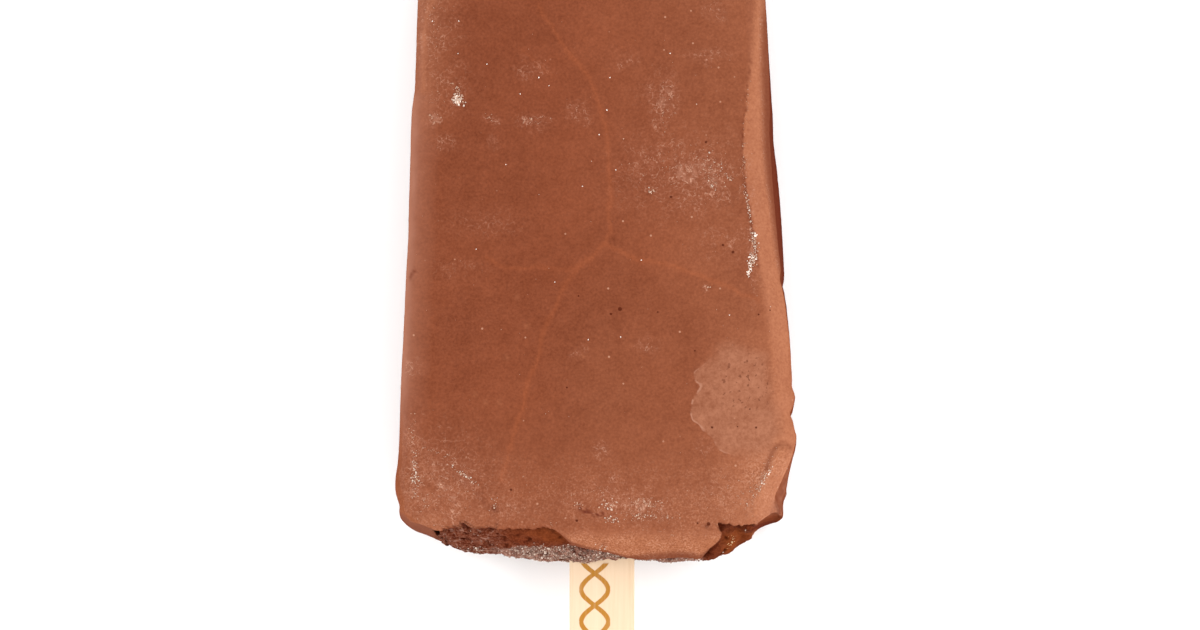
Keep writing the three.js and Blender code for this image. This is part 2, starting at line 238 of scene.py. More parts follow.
def section_point(run, along, y, depth):
    """x and z of places on the section at y, inside the outer skin by depth."""
    at_tip = step(y, TIP_Y - TIP_BLEND, TIP_Y - TIP_LENGTH / 2)
    shrink = depth / 2
    lean = mix(RIGHT_LEAN + bumps(y, RIGHT_LEAN_BUMPS), LEFT_LEAN, at_tip)
    bevel = np.maximum(mix(right_bevel(y), TIP_EDGE, at_tip) - shrink, LEAST_EDGE)
    bevel_drop = bevel * mix(BEVEL_FALL, 1, at_tip)
    left_edge = np.maximum(mix(LEFT_EDGE, TIP_EDGE, at_tip) - shrink, LEAST_EDGE)
    back_edge = np.maximum(BACK_EDGE - shrink, LEAST_EDGE)
    crown = FACE_CROWN * (1 - step(y, TIP_Y - TIP_LENGTH, TIP_Y))
    front = front_height(y) - depth
    right = right_reach(y) - lean - depth
    left = depth + LEFT_LEAN - left_reach(y)
    wall_right = right + lean * belly(1)
    wall_left = left - LEFT_LEAN * belly(1)
    out, down = soft_corner(along, 2)
    bevel_out, bevel_down = soft_corner(along, mix(BEVEL_POWER, 2, at_tip))
    places = {
        FRONT: (mix(left + left_edge, right - bevel, along), front + crown * (1 - (2 * along - 1) ** 2)),
        FRONT_RIGHT: (right - bevel + bevel * bevel_out, front - bevel_drop + bevel_drop * bevel_down),
        RIGHT: (right + lean * belly(along), mix(front - bevel_drop, depth + back_edge, along)),
        BACK_RIGHT: (wall_right - back_edge + back_edge * down, depth + back_edge - back_edge * out),
        BACK: (mix(wall_right - back_edge, wall_left + back_edge, along), depth + 0 * along),
        BACK_LEFT: (wall_left + back_edge - back_edge * out, depth + back_edge - back_edge * down),
        LEFT: (left - LEFT_LEAN * belly(1 - along), mix(depth + back_edge, front - left_edge, along)),
        FRONT_LEFT: (left + left_edge - left_edge * down, front - left_edge + left_edge * out),
    }
    here = [run == name for name in places]
    return [np.select(here, values) for values in zip(*places.values())]


face_ends = section_point(FRONT, np.array([0.0, 1.0]), EDGE_Y, 0)[0]
print("At the stick end the face reaches from x", face_ends[0].round(2), "to", face_ends[1].round(2))


# %% [markdown]
# The skin is now a function: give it a place on the section ring, a path and a depth, and it
# answers with a point in space. The path is measured up the wall from the edge of the stick end, so
# it is 0 at that edge, large at the tip, and negative on the swollen stick end itself. The depth
# says how far under the outer skin the point lies, so that one function shapes the coating's outer
# and inner walls and the filling inside them.

# %% The skin as a function
def inside_outline(run, along, y, depth):
    """How far a place lies inside the widest outline; a flat face ends straight across the tip."""
    middle = (right_reach(y) - left_reach(y)) / 2
    half_width = (right_reach(y) + left_reach(y)) / 2

    def inside(share):
        return half_width - np.abs(section_point(run, share, y, depth)[0] - middle)

    flat = (run == FRONT) | (run == BACK)
    return np.where(flat, mix(inside(0 * along), inside(0 * along + 1), along), inside(along))


def swell_share(x):
    """Share of the full swell of the stick end: steep at its corners and gentle towards the middle."""
    left_rise = np.sin(np.pi / 2 * np.clip((x + 20) / 2.4, 0, 1))
    right_rise = np.sin(np.pi / 2 * np.clip((21.2 - x) / 4.5, 0, 1))
    left = mix(step(x, -16, -8), left_rise, LEFT_SHOULDER)
    return left * mix(1 - step(x, 12, 16), right_rise, RIGHT_SHOULDER)


def setback(x, inward, depth):
    corners = LEFT_SETBACK * step(-x, 18.5, 24.5) + RIGHT_SETBACK * step(x, 17, 24)
    under_coat = np.maximum(0, depth - COAT_THICKNESS) / FILLING_GAP
    hollow = under_coat * (1 - step(inward, 0.3, 0.8)) * bumps(x, HOLLOWS)
    return corners + hollow + DEPTH_SETBACK * depth


def meeting_x(run, along, depth):
    share = np.select([run == FRONT, run == BACK, run < BACK], [along, 1 - along, 1.0], 0.0)
    left = section_point(FRONT + 0 * run, 0 * along, EDGE_Y, depth)[0]
    right = section_point(FRONT + 0 * run, 0 * along + 1, EDGE_Y, depth)[0]
    return np.clip(mix(left, right, share), MIDDLE_Z - LEFT_REACH, RIGHT_REACH - MIDDLE_Z)


def heel_point(run, along, inward, depth):
    edge_x, edge_z = section_point(run, along, EDGE_Y, depth)
    outer_x = mix(section_point(run, along, EDGE_Y, 0 * depth)[0], meeting_x(run, along, 0 * depth), inward)
    x = mix(edge_x, meeting_x(run, along, depth), inward)
    swell = HEEL_SWELL * swell_share(outer_x) - (SWELL_LOSS - DEPTH_SETBACK) * depth
    y = EDGE_Y + setback(outer_x, inward, depth) - swell * (1 - (1 - inward) ** SWELL_POWER)
    return np.stack([x, y, mix(edge_z, MIDDLE_Z, inward)], axis=-1)


def wall_point(run, along, path, depth):
    turn = np.clip((path - TIP_START) / TIP_RUN, 0, 1)
    forward, spread = soft_corner(turn, TIP_POWER)
    row_y = EDGE_Y + np.minimum(path, TIP_START) + TIP_LENGTH * forward
    x, z = section_point(run, along, row_y, depth)
    middle = (right_reach(row_y) - left_reach(row_y)) / 2
    outer_x = section_point(run, along, row_y, 0 * depth)[0]
    back = setback(outer_x, 0, depth) * (1 - step(path, 0, LIP_ZONE))
    y = row_y - forward * inside_outline(run, along, row_y, depth) + np.where(turn > 0, 0, back)
    return np.stack([mix(middle, x, spread), y, z], axis=-1)


def sharp_point(run, along, path, depth):
    wall = wall_point(run, along, np.maximum(path, 0), depth)
    heel = heel_point(run, along, np.clip(-path / MIDDLE_Z, 0, 1), depth)
    return np.where((path >= 0)[..., None], wall, heel)


def skin_point(run, along, path, depth):
    """Points of the skin, with the edge of the stick end rounded over."""
    share = np.clip((HEEL_FILLET - path) / (2 * HEEL_FILLET), 0, 1)[..., None]
    above = sharp_point(run, along, np.full_like(path, HEEL_FILLET), depth)
    edge = sharp_point(run, along, np.zeros_like(path), depth)
    below = sharp_point(run, along, np.full_like(path, -HEEL_FILLET), depth)
    rounded = above * (1 - share) ** 2 + edge * 2 * share * (1 - share) + below * share**2
    return np.where((np.abs(path) < HEEL_FILLET)[..., None], rounded, sharp_point(run, along, path, depth))


heel_middle = skin_point(*(np.array([value]) for value in (FRONT, 0.5, -MIDDLE_Z, 0.0)))[0]
print("The middle of the stick end lies at", heel_middle.round(2))

# %% [markdown]
# A skin is laid like a sheet of paper wrapped round the bar: the grid operator makes a flat sheet
# with one column for each place on the ring and one row for each path, and then every corner of the
# sheet moves to its point on the skin. The sheet's two long edges meet under the bar, and at the tip
# its last row closes on itself, so merging the doubled corners leaves one closed surface.
#
# Marks are numbers kept for each corner, such as how frosted the chocolate is there. The finishes
# read them later, so a mark follows the surface exactly, whatever its shape.

# %% Laying a skin
BOX_MARGIN = 0.15 * MM


def ring_places(columns):
    """Run and share along it for each column, with the first column repeated at the end."""
    run = np.concatenate([np.full(count, name) for name, count in enumerate(columns)])
    along = np.concatenate([np.arange(count) / count for count in columns])
    return np.append(run, run[0]), np.append(along, along[0])


def outward(points):
    """Unit normals of a grid of points, turned out of the front face."""
    across = np.roll(points[:, :-1], -1, axis=1) - np.roll(points[:, :-1], 1, axis=1)
    across = np.concatenate([across, across[:, :1]], axis=1)
    down = np.gradient(points, axis=0)
    normals = np.cross(down, across)
    return normals / np.maximum(np.linalg.norm(normals, axis=-1, keepdims=True), 1e-9)


def kept_in_box(points):
    """Points in metres, drawn back softly where relief would carry them out of the frame's box."""
    low, high = (np.array(corner) for corner in frame_box)
    middle = (low + high) / 2
    half = (high - low) / 2
    away = np.abs(points - middle)
    over = np.maximum(away - half + BOX_MARGIN, 0)
    drawn = np.minimum(away, half - BOX_MARGIN) + BOX_MARGIN * np.tanh(over / BOX_MARGIN)
    return middle + np.sign(points - middle) * drawn


def lay_skin(name, points, marks):
    """One closed mesh over a grid of points in millimetres, carrying marks of the same shape."""
    rows, columns = points.shape[:2]
    sheet = bmesh.new()
    bmesh.ops.create_grid(sheet, x_segments=columns - 1, y_segments=rows - 1, size=1)
    mesh = bpy.data.meshes.new(name)
    sheet.to_mesh(mesh)
    mesh.vertices.foreach_set("co", kept_in_box((points + [SIDE_SHIFT, 0, 0]) * MM).ravel())
    for mark, values in marks.items():
        mesh.attributes.new(mark, "FLOAT", "POINT").data.foreach_set("value", values.ravel())
    sheet.clear()
    sheet.from_mesh(mesh)
    bmesh.ops.remove_doubles(sheet, verts=sheet.verts, dist=1e-6)
    bmesh.ops.recalc_face_normals(sheet, faces=sheet.faces)
    for face in sheet.faces:
        face.smooth = True
    open_edges = sum(not edge.is_manifold for edge in sheet.edges)
    sheet.to_mesh(mesh)
    sheet.free()
    print(name, "has", len(mesh.polygons), "faces and", open_edges, "open edges")
    return add_object(name, mesh)


def wander(points, size, octaves=3):
    """Smooth noise of about -1 to 1, whose largest waves are size millimetres long."""
    flat = (points.reshape(-1, 3) / size).tolist()
    values = [noise.fractal(place, 1.0, 2.0, octaves) for place in flat]
    return np.array(values).reshape(points.shape[:-1])


print("The skins are held back softly over the last", BOX_MARGIN, "m before the frame's box")

# %% [markdown]
# The coating ends in a lip round the stick end. On the left it broke off level with the edge. From
# the middle to the right a flap of it folded over the end before it set, and right of the flap a
# chip is missing. At both corners it wraps round the end. The lip is a line of paths, one for each
# column, read off a smooth curve with small uneven steps on top.

# %% The lip of the coating
LIP_POINTS = [  # x across the front, and the path at which the coating ends
    (-21.6, -1.0), (-20.4, 0.0), (-19.4, 0.6), (-18.0, 0.85), (-16.8, 0.9), (-16.5, 1.7), (-16.2, 1.4),
    (-15.4, 0.8), (-11.0, 0.9), (-7.5, 1.0), (-5.8, 1.1), (-5.2, 0.9), (-4.5, 0.0), (-3.2, -1.9),
    (-1.3, -2.8), (1.3, -3.7), (3.9, -5.1), (5.6, -5.75), (7.4, -5.6), (10.8, -5.0), (12.8, -5.4),
    (14.2, -6.3), (15.0, -6.1), (15.4, -4.6), (15.75, 0.9), (16.05, 1.75),
    (17.6, 1.75), (18.4, 1.3), (19.0, 1.05), (21.4, 0.9),
]
BACK_LIP = 0.2
LEFT_WRAP = (21.7, 22.7)  # where the lip turns down round each corner of the end
RIGHT_WRAP = (20.4, 21.3)
SHARP_PLACES = [-22.2, 15.5, 20.8]  # the lip is steepest here, so the columns stand closer together
CROWDING = 3.5  # how many more columns stand at such a place
CROWDED_WIDTH = 0.8


def corner_lip(x, border, reach):
    meeting = reach - MIDDLE_Z
    return -MIDDLE_Z * (np.abs(x) - border) / (np.abs(x) - meeting)


def lip_path(run, along):
    x = section_point(run, along, EDGE_Y, 0 * along)[0]
    across, ends = np.array(LIP_POINTS).T
    steps = np.array([noise.noise((place / 0.5, 3.7, 0)) for place in x])
    fine_steps = np.array([noise.noise((place / 0.22, 9.1, 0)) for place in x])
    roughness = mix(0.30, 0.10, step(x, -7, -4) * (1 - step(x, 15, 16)))
    front = np.interp(x, across, ends) + roughness * (steps + 0.6 * fine_steps)
    lip = np.where(run == BACK, BACK_LIP + 0.5 * steps, front)
    left = step(-x, *LEFT_WRAP)
    lip = np.where(left > 0, mix(lip, corner_lip(x, LEFT_BORDER, LEFT_REACH), left), lip)
    right = step(x, *RIGHT_WRAP)
    return np.where(right > 0, mix(lip, corner_lip(x, RIGHT_BORDER, RIGHT_REACH), right), lip)


def crowded(count, places):
    """Shares of 0 to 1 that stand closer together near some x places of the front face."""
    low, high = section_point(FRONT, np.array([0.0, 1.0]), EDGE_Y, 0)[0]
    fine = np.linspace(0, 1, 4001)
    x = mix(low, high, fine)
    density = 1 + sum(CROWDING * bell((x - place) / CROWDED_WIDTH) for place in places)
    total = np.cumsum(density) - density[0]
    return np.interp(np.arange(count) / count, total / total[-1], fine)


COAT_COLUMNS = (240, 14, 14, 6, 36, 6, 14, 14)
ring_run, ring_along = ring_places(COAT_COLUMNS)
ring_along[: COAT_COLUMNS[0]] = crowded(COAT_COLUMNS[0], SHARP_PLACES)
coat_lip = lip_path(ring_run, ring_along)
print("The lip runs from path", coat_lip.min().round(2), "to", coat_lip.max().round(2))

# %% [markdown]
# The coating's rows start at the tip, run down the outside to the lip, turn round it and go back up
# the inside. They stand close together near the stick end, where all the fine detail is, and far
# apart at the plain tip and on the hidden inner wall.


# %% Rows of the coating
def spaced(start, end, gap):
    return np.linspace(start, end, max(2, round(abs(start - end) / gap)), endpoint=False)


OUTER_PATHS = np.concatenate([
    spaced(TIP_END, TIP_START, 1.6),
    spaced(TIP_START, TIP_START - 8, 1.0),
    spaced(TIP_START - 8, LIP_ZONE, 0.36),
])
LIP_ROWS = 40
FOLD_ROWS = 24
LEAST_FOLD = 0.8
# how far past the lip each row of the rounded rim lies, and its share of the thickness
RIM_ROUND = [(0.12, 0.04), (0.3, 0.16), (0.42, 0.35), (0.45, 0.55), (0.36, 0.76), (0.15, 0.93)]
INNER_RISES = [0, 0.5, 1.2, 2.5, 4.5, 7]  # rows of the inner wall near the lip, above it
INNER_PATHS = np.concatenate([[12, 20, 35, 50, 65], spaced(TIP_START, TIP_END, 4), [TIP_END]])


def coating_rows():
    """Paths and depths of the coating's grid, rows by columns."""
    edge = np.maximum(0, coat_lip + LEAST_FOLD)
    outer = [path + 0 * coat_lip for path in OUTER_PATHS]
    outer += [mix(LIP_ZONE, edge, i / LIP_ROWS) for i in range(LIP_ROWS)]
    outer += [mix(edge, coat_lip, i / FOLD_ROWS) for i in range(FOLD_ROWS + 1)]
    rim = [coat_lip - over for over, share in RIM_ROUND]
    inner = [coat_lip + above for above in INNER_RISES] + [path + 0 * coat_lip for path in INNER_PATHS]
    shares = [0] * len(outer) + [share for over, share in RIM_ROUND] + [1] * len(inner)
    paths = np.array(outer + rim + inner)
    return paths, np.array(shares)[:, None] * COAT_THICKNESS + 0 * paths


coat_path, coat_depth = coating_rows()
coat_run = np.broadcast_to(ring_run, coat_path.shape)
coat_along = np.broadcast_to(ring_along, coat_path.shape)
coat_points = skin_point(coat_run, coat_along, coat_path, coat_depth)
print("The coating's grid has", coat_path.shape, "rows and columns")

# %% [markdown]
# What is drawn on the front face comes next, as lines and areas in millimetres. Fine pale veins mark
# where the coating cracked and healed. A smooth patch sits in the lower right corner, where the bar
# was touched and warmed. Frost has settled in clouds. Each becomes a mark: a number for each corner
# of the grid, worked out from its distance to the line or from its place in the area.

# %% Lines and areas on the front face
VEINS = [  # points along each vein, its half width and its strength
    ([(-7.6, 48.5), (-6.82, 46.9), (-4.6, 43.6), (-2.23, 40.9), (-0.6, 37.8), (0.65, 34.9), (1.4, 31.2),
      (1.56, 27.6), (1.8, 24.0), (1.56, 20.98), (1.5, 18.8), (1.04, 17.02)], 0.30, 0.62),
    ([(1.04, 17.02), (-0.91, 15.3), (-2.9, 13.8), (-4.16, 11.75), (-5.3, 9.0), (-6.75, 5.84),
      (-7.6, 2.6), (-8.68, -0.71), (-9.7, -4.0), (-10.61, -7.23), (-11.5, -10.6), (-12.14, -13.74)],
     0.28, 0.72),
    ([(-2.0, 14.6), (-4.16, 13.72), (-7.2, 14.1), (-10.02, 13.99), (-12.2, 14.3), (-14.57, 15.3)], 0.25, 0.6),
    ([(1.04, 17.02), (3.2, 15.9), (5.59, 15.04), (8.8, 14.4), (12.1, 13.46), (15.5, 12.3), (18.59, 10.83),
      (21.18, 9.78)], 0.30, 0.7),
    ([(-10.09, 42.9), (-8.2, 41.4), (-6.16, 39.56)], 0.35, 0.35),
]
PATCH_OUTLINE = [
    (16.7, 4.3), (15.7, 3.8), (15.0, 2.4), (13.4, 0.8), (12.8, 0.1), (13.0, -0.9), (13.5, -1.5),
    (12.7, -2.5), (12.3, -3.9), (12.3, -4.9), (12.7, -5.8), (13.4, -6.5), (14.0, -7.7), (14.6, -8.3),
    (15.2, -9.1), (15.7, -9.8), (17.4, -10.4), (20.6, -10.5), (22.6, -10.0), (24.2, -7.5),
    (23.1, -3.5), (22.8, 0.3), (22.1, 2.7), (18.8, 3.6), (17.8, 4.2),
]
RIDGE = [(24.1, -10.3), (23.6, -11.6), (22.8, -13.2), (22.0, -15.0), (21.1, -16.8), (20.2, -18.8)]
RIDGE_GROOVE = [
    (21.9, -12.2), (22.2, -11.2), (22.6, -10.2), (23.1, -9.4), (23.8, -9.0), (24.5, -9.0), (25.1, -9.5),
]
BESIDE_RIDGE = [
    (25.6, -10.6), (24.9, -12.0), (24.1, -13.5), (23.25, -15.2), (22.6, -16.9), (22.3, -18.4),
    (21.4, -19.7), (30, -23), (30, -10),
]
BEVEL_LINE = [
    (21.3, 75.0), (21.0, 49.6), (20.35, 42.9), (19.7, 37.5), (19.5, 34.9), (19.25, 33.6), (19.1, 30.9),
    (19.25, 27.6), (19.5, 24.6), (19.8, 23.0), (20.0, 21.0), (20.3, 19.0), (20.85, 17.0), (21.0, 13.6),
    (21.8, 9.7), (22.2, 4.4), (22.2, -5.0),
]
SLIVER_LINE = [
    (21.8, 75.0), (21.8, 50.0), (21.74, 43.0), (21.88, 34.9), (21.95, 29.6), (22.34, 25.6), (22.86, 21.9),
    (23.2, 19.3), (23.44, 16.9), (23.84, 14.4), (24.3, 12.0), (26.0, 10.5), (27.0, -30.0),
]
FACET_LINE = [(-25.0, -5.0), (-22.6, -8.2), (-19.0, -12.05), (-15.37, -15.3), (-12.9, -18.7)]
SLIT = [(19.1, -20.3), (20.2, -20.0), (21.2, -19.5), (22.2, -19.15), (23.6, -18.8)]
LEFT_SLIT = [(-25.6, -18.0), (-24.3, -18.9), (-22.7, -19.6), (-21.2, -20.1), (-20.2, -20.5), (-19.0, -20.9)]
NO_SLIT = [(-18.5, -40.0), (18.5, -40.0)]


def line_distance(x, y, line):
    """Distance to a broken line, and the share along it of the nearest place."""
    best = np.full(x.shape, np.inf)
    share = np.zeros(x.shape)
    ends = np.array(line, float)
    for i, (start, end) in enumerate(zip(ends[:-1], ends[1:])):
        way = end - start
        at = np.clip(((x - start[0]) * way[0] + (y - start[1]) * way[1]) / (way @ way), 0, 1)
        gap = np.hypot(x - start[0] - at * way[0], y - start[1] - at * way[1])
        share = np.where(gap < best, (i + at) / (len(ends) - 1), share)
        best = np.minimum(best, gap)
    return best, share


def inside_of(x, y, outline):
    """How far inside a closed outline a place lies; negative outside."""
    closed = outline + outline[:1]
    inside = np.zeros(x.shape, bool)
    for (x0, y0), (x1, y1) in zip(closed[:-1], closed[1:]):
        crossing = (y0 > y) != (y1 > y)
        at = x0 + (y - y0) * (x1 - x0) / (y1 - y0 if y1 != y0 else 1e-9)
        inside ^= crossing & (x < at)
    return np.where(inside, 1, -1) * line_distance(x, y, closed)[0]


LEAN = math.tan(math.radians(7))  # of the view from above, for lines that run over the rounded edge
FACE_Z = 20.3

coat_x = coat_points[..., 0]
coat_y = coat_points[..., 1]
seen_y = coat_y + LEAN * (coat_points[..., 2] - FACE_Z)
wobble = wander(coat_points, 2.4, 3)
side_wobble = wander(coat_points + 40, 2.4, 3)
vein = np.zeros(coat_x.shape)
for line, width, strength in VEINS:
    gap = line_distance(coat_x + 0.35 * wobble, coat_y + 0.35 * side_wobble, line)[0]
    vein = np.maximum(vein, strength * bell(gap / width))
patch = inside_of(coat_x + 0.4 * wobble, coat_y + 0.4 * side_wobble, PATCH_OUTLINE)
print("Veins reach", vein.max().round(2), "and the patch is", patch.max().round(1), "mm deep inside")

# %% [markdown]
# Frost lies in clouds. Each cloud is an oval with a soft border, broken up by noise so that it looks
# settled and not sprayed on.

# %% Frost clouds
FROST_CLOUDS = [  # x, y, half width, half height, strength
    (11.5, 26.5, 6.5, 4.2, 0.60), (15.6, 26.0, 2.6, 3.0, 0.55), (8.9, 36.2, 1.6, 3.2, 0.50),
    (7.1, 37.4, 1.5, 1.6, 0.35), (7.8, 33.4, 1.0, 1.2, 0.35), (-8.3, 40.3, 1.6, 1.0, 0.35),
    (3.6, 41.4, 1.6, 1.0, 0.35), (14.4, 42.2, 2.2, 0.8, 0.40), (15.3, 48.3, 1.3, 1.1, 0.40),
    (-2.6, 34.6, 1.5, 1.1, 0.35), (-8.7, 33.3, 1.9, 0.8, 0.65), (-13.6, 33.6, 0.6, 0.6, 0.80),
    (-21.2, 33.8, 0.7, 0.6, 0.80), (-13.6, 30.6, 0.5, 0.8, 0.40), (-20.4, 30.4, 1.4, 0.9, 0.35),
    (-24.3, 0.9, 1.0, 1.2, 0.65), (-21.8, 46.0, 3.2, 6.5, 0.30), (-19.6, 38.0, 2.6, 3.2, 0.28),
    (6.9, 24.0, 1.0, 0.5, 0.60),
    (-14.6, 19.8, 4.0, 1.6, 0.22), (-18.5, 14.0, 3.0, 1.2, 0.22), (6.3, 3.6, 1.3, 0.8, 0.40),
    (14.7, 11.4, 0.45, 0.4, 0.90), (-2.0, 2.6, 1.1, 0.8, 0.30), (16.5, 17.5, 3.5, 2.5, 0.25),
    (-19.8, -14.5, 5.0, 6.0, 0.50), (-23.6, -12.5, 1.2, 6.0, 0.60), (2.5, -16.6, 6.0, 1.9, 0.50),
    (6.3, -17.6, 3.2, 1.5, 0.55), (-11.0, -17.6, 4.0, 1.0, 0.35), (20.3, 16.0, 0.6, 5.0, 0.70),
    (19.9, 25.5, 0.4, 3.0, 0.50), (13.9, -9.3, 0.8, 0.8, 0.50), (0.4, -10.0, 0.9, 0.8, 0.60),
    (2.1, -13.4, 0.7, 0.6, 0.50), (21.0, -12.6, 2.4, 3.2, 0.22), (17.0, -15.5, 4.5, 3.0, 0.25),
]


def frost_clouds(x, y):
    frost = np.zeros(x.shape)
    for centre_x, centre_y, half_width, half_height, strength in FROST_CLOUDS:
        cloud = bell((x - centre_x) / half_width, (y - centre_y) / half_height)
        frost = np.maximum(frost, strength * cloud)
    return frost


breakup = wander(coat_points + 80, 1.6, 4)
frost = np.clip(frost_clouds(coat_x + 0.8 * wobble, coat_y + 0.8 * side_wobble) * (1 + 1.1 * breakup), 0, 1)
facet_x, facet_y = np.array(FACET_LINE).T
facet_gap = line_distance(coat_x, coat_y, FACET_LINE)[0]
facet = np.where(coat_y < np.interp(coat_x, facet_x, facet_y, left=-5, right=-40), facet_gap, 0)
print("Frost covers", round(float((frost > 0.3).mean()) * 100, 1), "percent of the coating's grid")

# %% [markdown]
# The relief is pushed out along the normals, by some hundredths or tenths of a millimetre: slow waves
# left by the dipping, the veins and the patch standing slightly proud, the lower left corner cut down
# to a flat facet, and a smooth ridge down the lower right corner. Only the slit over the right corner
# and the coat under it lie deeper. Inside the rim the relief fades to nothing, so the inner wall
# stays clear of the filling.

# %% Relief of the coating
CRACK = [(-2.6, -17.3), (-0.65, -18.1), (0.4, -18.1), (1.4, -17.8)]
DENTS = [(-13.3, -17.4, 0.5, 0.40), (14.1, -19.7, 0.35, 0.35)]  # x, y, radius and depth
BLISTERS = [(0.39, -9.97), (2.07, -13.35)]
BLISTER_RADIUS = 0.42  # of its raised rim; the middle is sunk
BLISTER_HEIGHT = 0.16
BLISTER_WIDTH = 0.16
BLISTER_SINK = 0.08
BLISTER_SINK_WIDTH = 0.2
VEIN_HEIGHT = 0.02
PATCH_HEIGHT = 0.10
RIDGE_HEIGHT = 0.45
RIDGE_WIDTH = 1.1
GROOVE_DEPTH = 0.16
GROOVE_WIDTH = 0.35
CRACK_DEPTH = 0.05
CRACK_WIDTH = 0.22
STRIP_DEPTH = 0.25  # of the strip to the right of the ridge
FACET_DEPTH = 0.22
SLIT_DEPTH = 0.45
SLIT_WIDTH = 0.26
RIGHT_END_LOSS = 0.55  # how much thinner the coat is under the right corner
LEFT_EDGE_SWELL = 0.5
FLAP_END_X = 15.3
FLAP_END = [  # path, and how far the flap's end lies to the right there
    (-6.2, -1.4), (-4.9, -1.3), (-3.4, -0.9), (-2.4, -0.3), (-1.1, 0.3), (0.1, 0.6), (1.1, 0.1), (2.2, 0.0),
]

ridge, ridge_share = line_distance(coat_x, seen_y, RIDGE)
groove = line_distance(coat_x, seen_y, RIDGE_GROOVE)[0]
beside = step(inside_of(coat_x + 0.2 * wobble, seen_y, BESIDE_RIDGE), -0.45, 0.6)
slit = line_distance(coat_x + 0.15 * wobble, seen_y + 0.1 * side_wobble, SLIT)[0]
crack = line_distance(coat_x + 0.3 * wobble, coat_y + 0.3 * side_wobble, CRACK)[0]
on_front = np.isin(coat_run, (FRONT, FRONT_RIGHT, FRONT_LEFT)) & (coat_path > -MIDDLE_Z)

relief = 0.10 * wander(coat_points, 17, 2) + 0.035 * wander(coat_points + 20, 4.5, 3)
relief += 0.022 * wander(coat_points + 60, 0.9, 2)
patch_edge = (1 - step(coat_x, 15, 19)) * (1 - step(coat_y, -0.6, 2.5))
drawn = VEIN_HEIGHT * vein + PATCH_HEIGHT * step(patch, -0.15, 0.2) * patch_edge
drawn += RIDGE_HEIGHT * bell(ridge / RIDGE_WIDTH) - GROOVE_DEPTH * bell(groove / GROOVE_WIDTH)
drawn -= STRIP_DEPTH * beside
drawn -= FACET_DEPTH * step(facet, 0, 0.5) + 0.02 * np.minimum(facet, 8)
drawn -= CRACK_DEPTH * bell(crack / CRACK_WIDTH)
drawn += 0.07 * frost * wander(coat_points + 10, 0.6, 2)
dented = np.zeros(coat_x.shape)
for dent_x, dent_y, radius, depth in DENTS:
    dent = bell((coat_x - dent_x) / radius, (seen_y - dent_y) / radius)
    drawn -= depth * dent
    dented = np.maximum(dented, dent)
for blister_x, blister_y in BLISTERS:
    away = np.hypot(coat_x - blister_x, coat_y - blister_y)
    raised = BLISTER_HEIGHT * bell((away - BLISTER_RADIUS) / BLISTER_WIDTH)
    drawn += raised - BLISTER_SINK * bell(away / BLISTER_SINK_WIDTH)
relief += np.where(on_front, drawn, 0)
in_slit = bell(slit / SLIT_WIDTH) * (coat_points[..., 2] > MIDDLE_Z)
relief -= SLIT_DEPTH * in_slit
relief -= RIGHT_END_LOSS * step(-coat_path, -0.4, 0.8) * step(coat_x, 18.0, 19.5) * (coat_run != BACK)
left_edge_bulge = bell((coat_path + 0.3) / 1.1) * step(-coat_x, 18.5, 20.5)
relief += LEFT_EDGE_SWELL * left_edge_bulge * np.isin(coat_run, (FRONT, FRONT_LEFT))
relief *= np.clip(1 - coat_depth / COAT_THICKNESS, 0, 1) * (1 - step(coat_path, TIP_END - 8, TIP_END))

near_flap_end = bell((coat_x - FLAP_END_X) / 2.2) * (coat_run == FRONT)
flap_paths, flap_reach = np.array(FLAP_END).T
coat_points[..., 0] += near_flap_end * np.interp(coat_path, flap_paths, flap_reach)
coat_normals = outward(coat_points)
coat_points = coat_points + coat_normals * relief[..., None]
print("The relief lies between", relief.min().round(2), "and", relief.max().round(2), "mm")

# %% [markdown]
# More marks say what the chocolate is like at each place. The long bevel on the right is thin and
# pale, and painted light from the right makes it paler still, with a crumbly crease along it, and past
# it a sliver of the wall shows, darkened with painted shade. The left edge carries a film of bloom, a
# smooth greyish pink that frost leaves on chocolate, with a painted highlight where the edge catches
# the light. All of them depend on how far right of a line down the bar a place lies.

# %% The bevel on the right and the film on the left
BEVEL_CREASE = 0.22  # half width of the crumbly crease
EDGE_BLOOM = [  # distance from the left edge, and how strong the film is there
    (0.0, 1.0), (0.6, 1.0), (0.9, 0.80), (1.4, 0.48), (2.2, 0.28), (4.2, 0.0),
]
FILM_END_Y = 37  # above it the film is faint


def past_line(line):
    """How far right of a line down the bar each place lies."""
    across, up = np.array(line[::-1]).T
    return coat_x - np.interp(coat_y, up, across)


coat_z = coat_points[..., 2]
past_bevel = past_line(BEVEL_LINE) + 0.12 * side_wobble
past_sliver = past_line(SLIVER_LINE)
below_tip = 1 - step(coat_y, 46, 54)
# Painted shade: the sliver of the right wall past the bevel is darkened as if in shade.
sliver_shade = step(past_sliver, -0.75, 0.45) * below_tip
# Painted shadow: dark gaps between the crystals of the crumbly crease.
crease_gap_shade = bell((past_bevel + 0.05) / BEVEL_CREASE) * step(coat_y, 11.5, 14) * (1 - step(coat_y, 42, 46))
crease_gap_shade = crease_gap_shade * step(wander(coat_points + 15, 0.45, 2), -0.1, 0.25)
bevel_softness = mix(1.4, 0.12, step(coat_y, 12, 17)) + 0.6 * step(coat_y, 34, 40)
# Painted light: the bevel is made paler, partly as if lit by the lamp at the right.
bevel_pale_and_painted_light = step(past_bevel / bevel_softness, -1, 1) * (1 - 0.35 * step(past_bevel, 1.4, 3.0))
bevel_pale_and_painted_light = bevel_pale_and_painted_light * mix(0.75, 1, step(past_bevel, 0.1, 1.2))
# Painted light: the lower right of the face is made paler as if lit from the right.
right_painted_light = 0.45 * step(past_bevel, -9, 0.5) * step(-coat_y, -14, 2)

